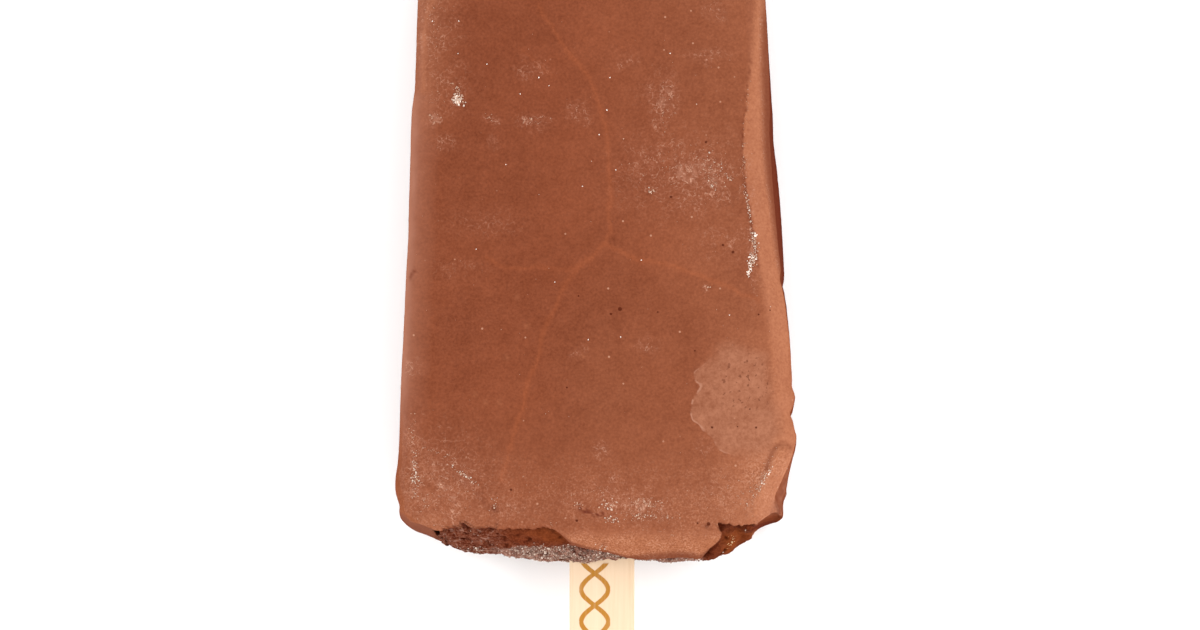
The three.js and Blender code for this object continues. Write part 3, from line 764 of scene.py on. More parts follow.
from_left = coat_x + left_reach(coat_y) + 0.2 * side_wobble
bloom_from, bloom_share = np.array(EDGE_BLOOM).T
# The film is bloom on the left edge together with a painted highlight where the edge catches the light.
edge_bloom_and_highlight = np.interp(from_left + 0.15 * wobble, bloom_from, bloom_share) * step(coat_y, -14, 2)
film_fade = 0.5 + 9 * step(-coat_z, -19.5, -15)  # sharp on the edge, and soft down the wall
edge_bloom_and_highlight = edge_bloom_and_highlight * mix(1, 0.3, step(coat_y, FILM_END_Y - film_fade, FILM_END_Y + film_fade))
on_upper_left = np.isin(coat_run, (FRONT, FRONT_LEFT, LEFT)) * step(coat_z, 10.5, 17.5)
print("The bevel's mark reaches", bevel_pale_and_painted_light.max().round(2), "and the film's", edge_bloom_and_highlight.max().round(2))

# %% [markdown]
# The stick end has areas of its own: the flap that folded over it, with a painted highlight on its
# rolled rim on the left, the ridge, the two corners that wrap round the end, whose walls are painted as
# pale as the lit face, and painted shade on the underside below each corner, which begins at a slit. A
# strip to the right of the ridge is bruised, with blots of bloom on it.

# %% The flap, the ridge and the corners
on_flap = step(-coat_path, -1.2, 1.5) * step(coat_x, -5.6, -4) * (1 - step(coat_x, 16, 18))
on_flap = np.where(coat_run == FRONT, on_flap, 0)
lip_gap = coat_path - coat_lip[None, :]
# Painted highlight on the flap's rolled left rim.
flap_rim_highlight = bell((lip_gap - 0.2) / 0.5) * bell((coat_x + 2.6) / 2.6) * (coat_run == FRONT)
on_ridge = np.exp(-((ridge / 1.05) ** 4)) * (1 - 0.4 * ridge_share)
slit_x, slit_y = np.array(LEFT_SLIT + NO_SLIT + SLIT).T
past_slit = np.interp(coat_x, slit_x, slit_y) - seen_y + 0.12 * wobble
# Painted shade on the underside below each corner, from the slit down.
underside_shade = step(past_slit, -0.25, 0.2) * (coat_run != BACK)
# Painted light: the corners' walls above the slit are painted as pale as the lit face.
corner_painted_light = step(np.abs(coat_x), 18.5, 20.5) * step(-seen_y, 16.5, 18.5) * (1 - underside_shade)
corner_painted_light = corner_painted_light * (1 - beside)
on_strip = step(inside_of(coat_x + 0.3 * wobble, seen_y, BESIDE_RIDGE), -0.7, 0.9) * (coat_depth == 0)
on_strip = on_strip * step(coat_z, 10.5, 15)
print("The corners' underside takes up", round(float(underside_shade.mean()) * 100, 1), "percent of the grid")

# %% [markdown]
# The chocolate is pale on the ridge and the facet, and painted light makes it paler on the bevel, the
# lower right, the flap and its rim and the corners' walls. On top of the areas, the whole face gets a
# little paler towards the stick end and the right, again as painted light, and it has a few soft
# blots, a streak and a flake.

# %% Pale marks and painted light
SOFT_SPOTS = [  # x and y of the small pale blots
    (-9.1, 6.3), (-11.7, 2.2), (-1.8, 2.4), (-12.7, -3.6), (-14.4, -3.6), (-15.8, -2.6), (-10.4, 10.2),
]
SOFT_SPOT_RADIUS = 0.4
PALE_STREAK = [(-21.5, 49.4), (-22.4, 47.7), (-22.7, 45.2), (-22.75, 37.6)]
STREAK_WIDTH = 0.35

# Painted light: the bevel, the lower right, the flap and its rim and the corners' walls are made paler as if
# more light fell on them; the ridge is paler too.
pale_and_painted_light = highest(bevel_pale_and_painted_light, right_painted_light, 0.88 * on_ridge, 0.52 * on_flap)
# Painted light: paler towards the stick end and the right; the other terms add paler zones.
pale_and_painted_light += 0.22 * step(-coat_y, 0, 19) + 0.20 * step(coat_x, 2, 20) + 0.07 * step(facet, 0, 1)
pale_and_painted_light += 0.4 * flap_rim_highlight + 0.30 * step(-coat_x, 17.0, 23.0) * step(coat_y, 28, 40)
pale_and_painted_light += 0.06 * step(-coat_x, 20, 24) * step(coat_y, -6, 4)
pale_and_painted_light += 0.14 * bell((coat_x - 1) / 7, (coat_y + 1) / 9) + 0.06 * step(coat_x, -6, 4)
# Painted light on the corners' walls.
pale_and_painted_light = np.maximum(pale_and_painted_light, mix(0.40, 0.75, coat_x > 0) * corner_painted_light)
soft_spots = 0
for spot_x, spot_y in SOFT_SPOTS:
    soft_spots += bell((coat_x - spot_x) / SOFT_SPOT_RADIUS, (coat_y - spot_y) / SOFT_SPOT_RADIUS)
streak = bell(line_distance(coat_x, coat_y, PALE_STREAK)[0] / STREAK_WIDTH)
flake = bell((coat_x + 22.65) / 0.25, (coat_y - 44.2) / 0.7)
pale_and_painted_light += 0.22 * soft_spots + 0.30 * streak + 0.8 * flake
pale_and_painted_light = np.clip(pale_and_painted_light * (1 - 0.55 * beside), 0, 1)
pale_and_painted_light *= highest(on_front, on_upper_left, step(corner_painted_light, 0, 0.6))

strip_bloom = (0.30 + 0.35 * step(wander(coat_points + 55, 1.3, 3), -0.2, 0.4)) * on_strip
# The bloom mark: the film, painted shade under the left corner and blots of bloom on the strip.
bloom_and_painted_light = highest(edge_bloom_and_highlight * on_upper_left, 0.65 * underside_shade * (coat_x < 0), strip_bloom)
beside_sliver = bell((past_sliver + 0.15) / 0.3) * step(coat_y, 12, 15)
frost = np.maximum(frost, 0.5 * beside_sliver * below_tip * (coat_z > MIDDLE_Z))
print("The coating is pale by", pale_and_painted_light.mean().round(2), "on average, and bloomed by", bloom_and_painted_light.mean().round(3))

# %% [markdown]
# Painted shade darkens the chocolate on the right wall and the back, in the slit, on the broken rim
# and inside, and at the foot of the flap. Small drawn marks come on top, most of them painted shade:
# the crack, the gaps between the crumbs of the crease, the dents, a comma at the left edge and the
# groove at the ridge's head.

# %% Dark marks, most of them painted shade
COMMA = [(-23.7, 13.6), (-24.1, 13.3), (-24.3, 12.7)]

# Painted shade on the walls, most of it on the right wall and the back.
down_wall = step(-coat_z, -17, -9)
right_wall_shade = mix(0.15, 0.85, step(coat_y, -12 * down_wall, 9 + 14 * down_wall))
right_wall_shade = right_wall_shade * step(coat_along, 0, 0.22)
side_wall_shade = mix(0.05, right_wall_shade, step(coat_x, -16, 16))
# Painted shade of each wall and back edge.
side = np.select(
    [np.isin(coat_run, (LEFT, RIGHT)), coat_run == BACK_RIGHT, coat_run == BACK_LEFT, coat_run == BACK],
    [side_wall_shade, 0.8, 0.6, 0.9],
)
# Painted shade at the foot of the flap, where it overhangs the filling.
foot_height = mix(0.55, 1.9, step(coat_x, 3, 7))
flap_foot_shade = 0.65 * on_flap * (1 - step(lip_gap, 0.4 * foot_height, 1.2 * foot_height))
# Painted shade: walls, flap foot, wall sliver, rim and inner wall, slit and the corners' undersides.
dark_and_painted_shade = highest(
    side * (1 - corner_painted_light),
    flap_foot_shade,
    0.72 * sliver_shade * (coat_path > 0) * (coat_run != BACK),
    0.85 * step(coat_depth, 0.1, 0.5),
    1.1 * in_slit,
    mix(0.46, 0.30, coat_x > 0) * underside_shade,
)
bruised = (0.06 + 0.34 * step(wander(coat_points + 45, 0.9, 3), 0.0, 0.35)) * beside
dark_and_painted_shade = np.where(coat_z > MIDDLE_Z, mix(dark_and_painted_shade, bruised, beside * (coat_depth == 0)), dark_and_painted_shade)
# Mostly painted shade: in the crack, between the crease's crumbs, in the dents, the comma and the groove; also
# a reddish spot on the flap and a darker band along the lower right edge.
drawn_dark_and_shade = highest(
    0.9 * bell(crack / 0.4) * step(wander(coat_points + 25, 0.5, 2), 0.0, 0.25),
    0.55 * crease_gap_shade,
    0.5 * dented**2,
    0.6 * bell(line_distance(coat_x, coat_y, COMMA)[0] / 0.2),
    0.3 * bell((coat_x - 0.9) / 0.5, (seen_y + 22.0) / 0.35),
    0.45 * bell(groove / 0.32),
    0.14 * step(coat_x - right_reach(coat_y), -0.9, -0.2) * (1 - step(coat_y, 8, 12)),
)
dark_and_painted_shade = np.maximum(dark_and_painted_shade, np.where(on_front, drawn_dark_and_shade, 0))
print("The coating is dark by", dark_and_painted_shade.mean().round(2), "on average")

# %% [markdown]
# The last mark says where frost was rubbed into the surface and left it sandy: towards the stick
# end, on the facet, the ridge and the flap. `up` is 1 where the surface faces up, for the sheen. Then
# the coating is laid with all its marks, and it takes the place of the frame's plainer coating.

# %% The coating
beside_ridge = bell((coat_x - 20.3 - 0.35 * (coat_y + 14)) / 2.2, (coat_y + 13.8) / 3.4)
sandy = highest(
    step(-coat_y, 8, 16) * (0.5 + 0.2 * step(coat_x, 8, 18)),
    0.6 * step(facet, -0.2, 1.0),
    1.6 * beside_ridge,
    1.3 * on_ridge,
    1.5 * on_flap,
)
marks = {"vein": vein, "patch": patch, "patch_edge": patch_edge, "frost": frost, "pale_and_painted_light": pale_and_painted_light, "bloom_and_painted_light": bloom_and_painted_light}
marks |= {"dark_and_painted_shade": dark_and_painted_shade, "sandy": sandy * on_front, "up": step(coat_normals[..., 2], 0.3, 0.95)}
coating = lay_skin("coating_skin", coat_points, marks)
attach(coating, "root")
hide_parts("coating")

# %% [markdown]
# The filling uses the same skin, 1.8 mm deeper. Where the coating covers it, it stays smooth and
# hidden. Where it swells out past the lip, it is churned ice cream that froze hard: lumps, pores and a
# smoother stretch where the coating tore away from it.
#
# On the line where its front and back halves meet, both halves push their relief out in the same
# direction, so that the doubled corners there still fall together and can be merged.

# %% The frozen filling
FILLING_COLUMNS = (180, 6, 12, 4, 180, 4, 12, 6)
FILLING_PATHS = np.concatenate([
    spaced(TIP_END, TIP_START, 4),
    spaced(TIP_START, LIP_ZONE, 6),
    spaced(LIP_ZONE, 1.6, 0.8),
    spaced(1.6, -MIDDLE_Z, 0.16),
    [-MIDDLE_Z],
])
SMOOTH_LEFT = -12.5
SMOOTH_RIGHT = -4.5
CHIP_LEFT = 14.2
LUMP_HEIGHT = 0.30
FINE_LUMP_HEIGHT = 0.20
PORE_DEPTH = 1.5
UNDER_BUMPS = [  # swellings of the stick end's lower part: x, half width and height
    (-13.0, 5.5, -0.12), (-9.0, 1.6, -0.25), (-1.6, 1.7, 0.6), (14.7, 1.4, 0.55), (16.9, 1.0, -0.35),
]
END_BUMPS = [(-18.9, 1.1, 0.9), (20.0, 0.5, -0.35)]

fill_ring_run, fill_ring_along = ring_places(FILLING_COLUMNS)
fill_lip = lip_path(fill_ring_run, fill_ring_along)
fill_path = np.repeat(FILLING_PATHS[:, None], len(fill_ring_run), axis=1)
fill_run = np.broadcast_to(fill_ring_run, fill_path.shape)
fill_along = np.broadcast_to(fill_ring_along, fill_path.shape)
fill_points = skin_point(fill_run, fill_along, fill_path, np.full(fill_path.shape, FILLING_DEPTH))
fill_x = fill_points[..., 0]

past_lip = fill_lip[None, :] - fill_path
in_chip = step(fill_x, CHIP_LEFT, CHIP_LEFT + 1)
smooth_part = step(fill_x, SMOOTH_LEFT - 1.5, SMOOTH_LEFT + 1)
smooth_part *= 1 - step(fill_x, SMOOTH_RIGHT, SMOOTH_RIGHT + 2)
smooth_part *= 1 - step(-fill_path + 1.2 * wander(fill_points + 70, 2.5, 2), 1.2, 3.6)
churned = 1 - 0.55 * smooth_part - 0.15 * in_chip
lumps = LUMP_HEIGHT * wander(fill_points, 2.8, 3) + FINE_LUMP_HEIGHT * wander(fill_points + 30, 0.9, 3)
pores = np.maximum(0, wander(fill_points + 50, 1.1, 3) - 0.28)
filled_out = 0.40 * step(fill_x, 16.0, 18.0) + 1.2 * step(fill_x, 17.9, 19.3)
filled_out += mix(0.8, 1.9, step(-fill_path, 0.0, 2.5)) * step(-fill_x, 17.4, 20.0)
filled_out += bumps(fill_x, UNDER_BUMPS) * step(-fill_path, 3.5, 6.5)
filled_out += bumps(fill_x, END_BUMPS) * step(-fill_path, 0.5, 2.5)
fill_relief = churned * (lumps - PORE_DEPTH * pores) - 0.05 + filled_out
fill_relief *= step(past_lip, 0.0, mix(0.9, 0.5, step(np.abs(fill_x), 17.5, 18.5)))
fill_normals = outward(fill_points)
to_meeting = step(-fill_path, 0.75 * MIDDLE_Z, MIDDLE_Z)[..., None]
fill_normals = mix(fill_normals, np.array([0, -1, 0]), to_meeting)
fill_points = fill_points + fill_normals * fill_relief[..., None]
print("The filling's relief lies between", fill_relief.min().round(2), "and", fill_relief.max().round(2))

# %% [markdown]
# The filling has three marks. `rime` greys the outer rim, where frost grew on it, and less so the
# left, which is crumbly. `amber` is where clean ice cream lets the light in: in the smooth stretch
# and in the chip. `deep` is painted shade where no light gets: right under the lip, behind the end of
# the flap and in the pores.

# %% Marks of the filling
frost_start = 2.9 + 2.6 * step(-fill_x, 9, 14) + 1.0 * wander(fill_points + 35, 1.4, 4)
rim_frost = step(-fill_path - frost_start, 0.0, 2.6) * (1 - 0.5 * step(-fill_x, 11, 15))
rim_frost *= (1 - step(fill_x, CHIP_LEFT - 1, CHIP_LEFT)) * step(past_lip, 0.3, 1.2)
rim_frost = np.maximum(rim_frost, 0.06 * step(-fill_x, 12, 14) * (1 - step(-fill_x, 17, 18)))
crumbs = np.maximum(rim_frost, 0.22 * step(-fill_x, 10.5, 14))
amber = 0.8 * in_chip * step(-fill_path, 1.6, 4.0) * step(fill_x, 15.6, 17.2)
amber = np.maximum(amber, smooth_part * mix(0.12, 0.55, step(fill_x, -10.5, -6.5)))
# Painted shade: `deep` darkens the filling under the lip, behind the flap's end and in the pores.
shade_reach = 1.3 + 3.0 * in_chip + 0.7 * wander(fill_points + 90, 1.5, 3)
deep = 1 - step(past_lip, 0.3, shade_reach)
deep = np.maximum(deep, in_chip * (1 - step(fill_x - 15.2 - 0.25 * fill_path, 0.6, 2.6)))
deep *= 1 - 0.75 * step(np.abs(fill_x), 18.3, 19.0)
deep = np.maximum(deep, np.clip(3.6 * pores * churned, 0, 1) * (1 - 0.7 * step(-fill_x, 17.5, 18.8)))

filling = lay_skin("frozen_filling", fill_points, {"rime": crumbs, "amber": amber, "deep": deep})
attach(filling, "root")
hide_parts("ice_cream")

# %% [markdown]
# Frost crystals are solid little stones. A crystal could be drawn as a white dot in the finish, but
# only a solid one catches the light on one side and throws a shadow on the other. Six different
# stones are made from an icosphere with its corners pulled about. Each crystal is one of them,
# turned, stretched and set half into the surface, and all the crystals of a kind are one mesh.


# %% Making crystals
def rough_stones(seed, kinds=6):
    rng = np.random.default_rng(seed)
    stones = []
    for number in range(kinds):
        ball = bmesh.new()
        bmesh.ops.create_icosphere(ball, subdivisions=1, radius=1)
        for corner in ball.verts:
            corner.co *= rng.uniform(0.65, 1.15)
        stone = bpy.data.meshes.new(f"stone_{number}")
        ball.to_mesh(stone)
        ball.free()
        stone.attributes.new("tone", "FLOAT", "POINT")
        stones.append((stone, np.array([corner.co for corner in stone.vertices])))
    return stones


def set_crystals(name, places, normals, sizes, tones, seed):
    """One mesh of crystals: places in millimetres, sizes as their radii."""
    rng = np.random.default_rng(seed)
    stones = rough_stones(seed)
    crystals = bmesh.new()
    for place, normal, size, tone in zip(places, normals, sizes, tones):
        stone, shape = stones[rng.integers(len(stones))]
        stretch = np.array([1.0, rng.uniform(0.6, 1), rng.uniform(0.5, 0.9)]) * size
        turn = np.array(Euler(rng.uniform(0, 2 * math.pi, 3)).to_matrix())
        middle = place + [SIDE_SHIFT, 0, 0] + 0.25 * size * normal
        stone.vertices.foreach_set("co", kept_in_box(((shape * stretch) @ turn.T + middle) * MM).ravel())
        stone.attributes["tone"].data.foreach_set("value", np.full(len(shape), tone))
        crystals.from_mesh(stone)
    mesh = bpy.data.meshes.new(name)
    crystals.to_mesh(mesh)
    crystals.free()
    for stone, shape in stones:
        bpy.data.meshes.remove(stone)
    print(name, "has", len(places), "crystals and", len(mesh.polygons), "faces")
    return add_object(name, mesh)


def pick_places(points, normals, weight, count, rng):
    """Random places of a grid of points, more of them where the weight is high."""
    chances = weight.ravel() / weight.sum()
    chosen = rng.choice(chances.size, count, p=chances)
    jitter = rng.normal(0, 0.1, (count, 3))
    flat_normals = normals.reshape(-1, 3)[chosen]
    jitter -= (jitter * flat_normals).sum(axis=1, keepdims=True) * flat_normals
    return points.reshape(-1, 3)[chosen] + jitter, flat_normals


trial_stone = rough_stones(0, kinds=1)[0][0]
print("A stone has", len(trial_stone.polygons), "faces")
bpy.data.meshes.remove(trial_stone)

# %% [markdown]
# Rime grew on the filling's outer rim, most of it on the upper half where it shows. The crystals are
# a tenth of a millimetre in radius, and most of them are dull with cocoa.

# %% Frost on the filling
RIME_CRYSTALS = 2900
RIME_RADIUS = 0.095
rng = np.random.default_rng(11)
open_end = step(past_lip, 0.3, 1.2) * (fill_path > -MIDDLE_Z)
front_half = np.isin(fill_run, (FRONT, FRONT_LEFT, FRONT_RIGHT))
weight = open_end * (rim_frost + 0.02) ** 1.5 * np.where(front_half & (fill_path > -8), 1.0, 0.25)
weight = weight * (1 - 0.6 * step(-fill_x, 10, 13))
places, normals = pick_places(fill_points, fill_normals, weight, RIME_CRYSTALS, rng)
sizes = rng.lognormal(math.log(RIME_RADIUS), 0.4, RIME_CRYSTALS).clip(0.05, 0.30)
tones = rng.uniform(0, 1, RIME_CRYSTALS) ** 1.3
rime = set_crystals("rime_on_filling", places, normals, sizes, tones, 5)
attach(rime, "root")

# %% [markdown]
# On the coating the crystals are few and each one shows. They lie in small groups: along the crease
# of the bevel, down the lower left corner, and in the frost clouds. Some bright ones lie alone, and
# faint ones lie anywhere.

# %% Frost on the coating
SPECK_GROUPS = [  # x, y, half width, half height, slant, count, radius and whiteness
    (-18.2, 36.3, 0.42, 0.50, -0.2, 150, 0.11, 0.95),
    (-18.3, 37.5, 0.25, 0.5, 0.0, 26, 0.08, 0.75),
    (-19.0, 38.4, 0.25, 0.2, 0.0, 7, 0.09, 0.5),
    (-21.2, 33.9, 0.5, 0.3, 0.0, 6, 0.11, 0.4),
    (-13.7, 33.7, 0.4, 0.3, 0.0, 6, 0.10, 0.5),
    (-8.8, 33.3, 1.2, 0.4, 0.0, 10, 0.08, 0.5),
    (-21.8, 46.5, 1.6, 3.5, 0.0, 26, 0.06, 0.4),
    (-20.0, 36.0, 1.5, 2.0, 0.0, 18, 0.06, 0.4),
    (11.0, 27.5, 4.5, 2.0, 0.0, 60, 0.065, 0.5),
    (15.8, 26.4, 1.6, 1.6, 0.0, 60, 0.065, 0.55),
    (16.5, 26.9, 0.35, 1.3, -0.7, 26, 0.09, 0.8),
    (15.2, 24.6, 0.16, 0.7, -0.6, 14, 0.08, 0.8),
    (7.0, 24.1, 0.5, 0.3, 0.0, 8, 0.10, 0.8),
    (8.9, 35.5, 1.2, 3.0, 0.0, 22, 0.065, 0.5),
    (20.55, 17.0, 0.30, 1.3, -0.1, 80, 0.080, 0.9),
    (20.0, 14.5, 0.26, 1.3, 0.40, 64, 0.085, 1.0),
    (19.75, 13.5, 0.16, 0.5, 0.3, 26, 0.090, 1.5),
    (20.05, 15.3, 0.16, 0.4, 0.3, 14, 0.095, 1.5),
    (20.6, 18.3, 0.14, 0.35, 0.0, 8, 0.11, 1.3),
    (19.7, 22.0, 0.12, 2.6, -0.14, 60, 0.075, 0.8),
    (19.2, 28.0, 0.12, 3.0, 0.0, 34, 0.06, 0.5),
    (19.9, 37.0, 0.16, 5.0, 0.11, 26, 0.055, 0.4),
    (-23.9, -8.0, 0.20, 2.0, 0.0, 26, 0.065, 0.6),
    (-23.6, -12.3, 0.36, 1.7, 0.0, 90, 0.075, 0.85),
    (-23.1, -14.5, 0.5, 1.6, 0.30, 24, 0.08, 0.7),
    (-22.2, -16.9, 0.4, 1.2, 0.4, 14, 0.09, 0.6),
    (-17.5, -12.9, 1.3, 0.12, -0.65, 60, 0.075, 0.8),
    (-20.5, -10.2, 1.2, 0.12, -0.4, 24, 0.07, 0.6),
    (-13.3, -16.8, 0.3, 0.6, 0.0, 11, 0.11, 0.8),
    (-19.5, -14.8, 2.6, 2.2, 0.0, 60, 0.055, 0.4),
    (6.6, -16.7, 1.7, 0.5, 0.0, 90, 0.06, 0.6),
    (6.3, -18.4, 2.6, 0.6, 0.0, 110, 0.055, 0.55),
    (6.6, -18.5, 1.6, 0.3, 0.0, 16, 0.10, 0.7),
    (1.4, -16.9, 0.9, 0.5, 0.0, 20, 0.11, 0.8),
    (1.9, -18.9, 0.7, 0.4, 0.0, 16, 0.11, 0.8),
    (-0.6, -15.2, 2.6, 0.3, 0.0, 30, 0.055, 0.4),
    (-2.4, -17.0, 0.7, 0.3, 0.0, 14, 0.08, 0.6),
    (0.4, -22.3, 0.8, 0.35, 0.3, 10, 0.08, 0.8),
    (22.1, -13.0, 0.30, 2.6, 0.60, 34, 0.09, 0.9),
    (21.6, -13.4, 0.6, 2.4, 0.40, 120, 0.055, 0.6),
    (20.2, -13.6, 1.0, 2.4, 0.30, 70, 0.05, 0.45),
    (17.5, -14.5, 3.0, 2.0, 0.0, 50, 0.05, 0.4),
    (14.7, 11.4, 0.15, 0.15, 0.0, 4, 0.12, 0.6),
    (18.7, -17.3, 1.5, 0.6, 0.0, 10, 0.06, 0.4),
    (9.0, -20.5, 4.0, 1.0, 0.0, 24, 0.05, 0.4),
    (-5.6, -19.4, 0.6, 0.3, 0.0, 8, 0.07, 0.5),
]
BRIGHT_SPECKS = [  # x and y of the crystals that lie alone and catch the light
    (2.5, 27.1), (-1.8, 24.8), (-6.2, 38.2), (-7.7, 39.3), (1.8, 39.3), (1.2, 35.0), (-18.2, 46.7),
    (-21.6, 46.7), (-18.2, 42.3), (-5.6, 12.1), (-15.8, 16.5), (-1.2, 4.7), (3.0, 4.8), (5.8, 14.9),
    (17.2, 7.7), (-10.0, 37.0), (9.6, 42.6), (-14.5, 41.0), (-12.0, 27.6), (0.3, 31.7),
]
BRIGHT_RADIUS = 0.11
LONE_SPECKS = 170
LONE_RADIUS = 0.05

rng = np.random.default_rng(23)
face_x = coat_points[..., 0]
face_y = coat_points[..., 1]
outside = on_front & (coat_depth == 0)
on_face = outside & (coat_y < 52) & (coat_path > 0)
flat_points = coat_points.reshape(-1, 3)
flat_normals = coat_normals.reshape(-1, 3)
spots = []
for centre_x, centre_y, half_width, half_height, slant, count, radius, whiteness in SPECK_GROUPS:
    across = face_x - centre_x - slant * (face_y - centre_y if half_width < half_height else 0)
    up = face_y - centre_y - (slant * (face_x - centre_x) if half_width >= half_height else 0)
    weight = outside * bell(across / half_width, up / half_height)
    group_places, group_normals = pick_places(coat_points, coat_normals, weight, count, rng)
    group_sizes = radius * rng.lognormal(0, 0.35, count).clip(0.5, 2)
    group_tones = np.minimum(whiteness * rng.uniform(0.4, 1, count), 1)
    spots.append((group_places, group_normals, group_sizes, group_tones))
for speck_x, speck_y in BRIGHT_SPECKS:
    nearest = np.argmin(np.where(on_face, np.hypot(face_x - speck_x, face_y - speck_y), np.inf))
    spots.append((flat_points[[nearest]], flat_normals[[nearest]], np.array([BRIGHT_RADIUS]), np.ones(1)))
lone_places, lone_normals = pick_places(coat_points, coat_normals, on_face * 1.0, LONE_SPECKS, rng)
lone_sizes = rng.lognormal(math.log(LONE_RADIUS), 0.3, LONE_SPECKS).clip(0.03, 0.1)
spots.append((lone_places, lone_normals, lone_sizes, rng.uniform(0, 0.6, LONE_SPECKS)))
places, normals, sizes, tones = (np.concatenate(parts) for parts in zip(*spots))
specks = set_crystals("specks_on_coating", places, normals, sizes, tones, 9)
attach(specks, "root")

# %% [markdown]
# In the chip, where a piece of the coating broke off, a few golden sugar grains sit in the bare ice
# cream. They are made like the frost.

# %% Golden grains in the chip
GOLD_GRAINS = 26
GOLD_RADIUS = 0.07
GOLD_PLACE = (17.8, -22.1)
rng = np.random.default_rng(31)
seen_fill_y = fill_points[..., 1] + LEAN * (fill_points[..., 2] - FACE_Z)
chip_weight = in_chip * bell((fill_x - GOLD_PLACE[0]) / 0.55, (seen_fill_y - GOLD_PLACE[1]) / 0.7)
chip_weight = chip_weight * (fill_run == FRONT)
places, normals = pick_places(fill_points, fill_normals, chip_weight, GOLD_GRAINS, rng)
sizes = rng.lognormal(math.log(GOLD_RADIUS), 0.35, GOLD_GRAINS).clip(0.04, 0.16)
gold = set_crystals("grains_in_chip", places, normals, sizes, rng.uniform(0, 1, GOLD_GRAINS), 13)
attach(gold, "root")

# %% [markdown]
# A finish is a small program made of shader nodes. To keep it readable, a socket is wrapped in a
# class that knows arithmetic: `1 - mask * 0.5` adds the Math nodes by itself. Every other node comes
# from one method, which sets the node's own choices first and then fills its sockets.


# %% Writing finishes as sums
class Wire:
    """The output of a node, which can be added, multiplied and so on."""

    def __init__(self, finish, socket):
        self.finish = finish
        self.socket = socket

    def sum_with(self, operation, first, second):
        return self.finish.node("ShaderNodeMath", {"operation": operation}, {0: first, 1: second})

    def __add__(self, other):
        return self.sum_with("ADD", self, other)

    def __radd__(self, other):
        return self.sum_with("ADD", other, self)

    def __sub__(self, other):
        return self.sum_with("SUBTRACT", self, other)

    def __rsub__(self, other):
        return self.sum_with("SUBTRACT", other, self)

    def __mul__(self, other):
        return self.sum_with("MULTIPLY", self, other)

    def __rmul__(self, other):
        return self.sum_with("MULTIPLY", other, self)


class Finish:
    """A material that is being put together."""

    def __init__(self, name):
        self.material = bpy.data.materials.new(name)
        self.material.use_nodes = True
        self.tree = self.material.node_tree
        self.tree.nodes.clear()
        place = self.node("ShaderNodeTexCoord", output="Object")
        scale = (1 / MM, 1 / MM, 1 / MM)
        self.place = self.node("ShaderNodeVectorMath", {"operation": "MULTIPLY"}, {0: place, 1: scale})

    def node(self, kind, choices=None, sockets=None, output=0):
        made = self.tree.nodes.new(kind)
        choices = dict(choices or {})
        stops = choices.pop("stops", None)
        for key, value in choices.items():
            setattr(made, key, value)
        for number, (position, colour) in enumerate(stops or []):
            ramp = made.color_ramp.elements
            stop = ramp[number] if number < 2 else ramp.new(position)
            stop.position = position
            stop.color = colour
        for key, value in (sockets or {}).items():
            if isinstance(value, Wire):
                self.tree.links.new(value.socket, made.inputs[key])
            else:
                made.inputs[key].default_value = value
        return Wire(self, made.outputs[output]) if made.outputs else None

    def mark(self, name):
        """A number that the mesh carries for each corner."""
        return self.node("ShaderNodeAttribute", {"attribute_name": name}, output="Fac")

    def noise(self, size, detail=3.0, roughness=0.5, offset=(0, 0, 0)):
        """Noise of 0 to 1 whose waves are size millimetres long."""
        moved = self.node("ShaderNodeVectorMath", {"operation": "ADD"}, {0: self.place, 1: offset})
        sockets = {"Vector": moved, "Scale": 1 / size, "Detail": detail, "Roughness": roughness}
        return self.node("ShaderNodeTexNoise", {}, sockets)

    def step(self, value, low, high):
        """0 below low and 1 above high, with a soft change between them."""
        sockets = {"Value": value, "From Min": low, "From Max": high}
        return self.node("ShaderNodeMapRange", {"interpolation_type": "SMOOTHSTEP"}, sockets)

    def clamp(self, value):
        return self.node("ShaderNodeClamp", {}, {"Value": value})

    def near(self, x, y, radius):
        """1 at a place of the face and 0 further than radius from it, whatever the height."""
        flat = self.node("ShaderNodeVectorMath", {"operation": "MULTIPLY"}, {0: self.place, 1: (1, 1, 0)})
        sockets = {0: flat, 1: (x + SIDE_SHIFT, y, 0)}
        distance = self.node("ShaderNodeVectorMath", {"operation": "DISTANCE"}, sockets, output="Value")
        return 1 - self.step(distance, radius * 0.5, radius)

    def blend(self, share, first, second, way="MIX"):
        choices = {"data_type": "RGBA", "blend_type": way}
        return self.node("ShaderNodeMix", choices, {0: share, 6: first, 7: second}, output=2)

    def done(self, colour, roughness, height, height_size, **constants):
        """Closes the finish with its shader; height_size is the bump's depth in millimetres."""
        depth = {"Height": height, "Distance": height_size * MM, "Strength": 1.0}
        bump = self.node("ShaderNodeBump", {}, depth)
        sockets = {"Base Color": colour, "Roughness": roughness, "Normal": bump}
        sockets.update({key.replace("_", " "): value for key, value in constants.items()})
        shader = self.node("ShaderNodeBsdfPrincipled", {}, sockets)
        self.node("ShaderNodeOutputMaterial", {}, {"Surface": shader})
        return self.material


def tint(red, green, blue):
    return (red, green, blue, 1.0)


trial_finish = Finish("trial")
nodes_before = len(trial_finish.tree.nodes)
trial_sum = 1 - 0.5 * trial_finish.mark("x")
nodes_taken = len(trial_finish.tree.nodes) - nodes_before
print("The sum 1 - 0.5 * x is a", type(trial_sum).__name__, "and takes", nodes_taken, "nodes")
bpy.data.materials.remove(trial_finish.material)

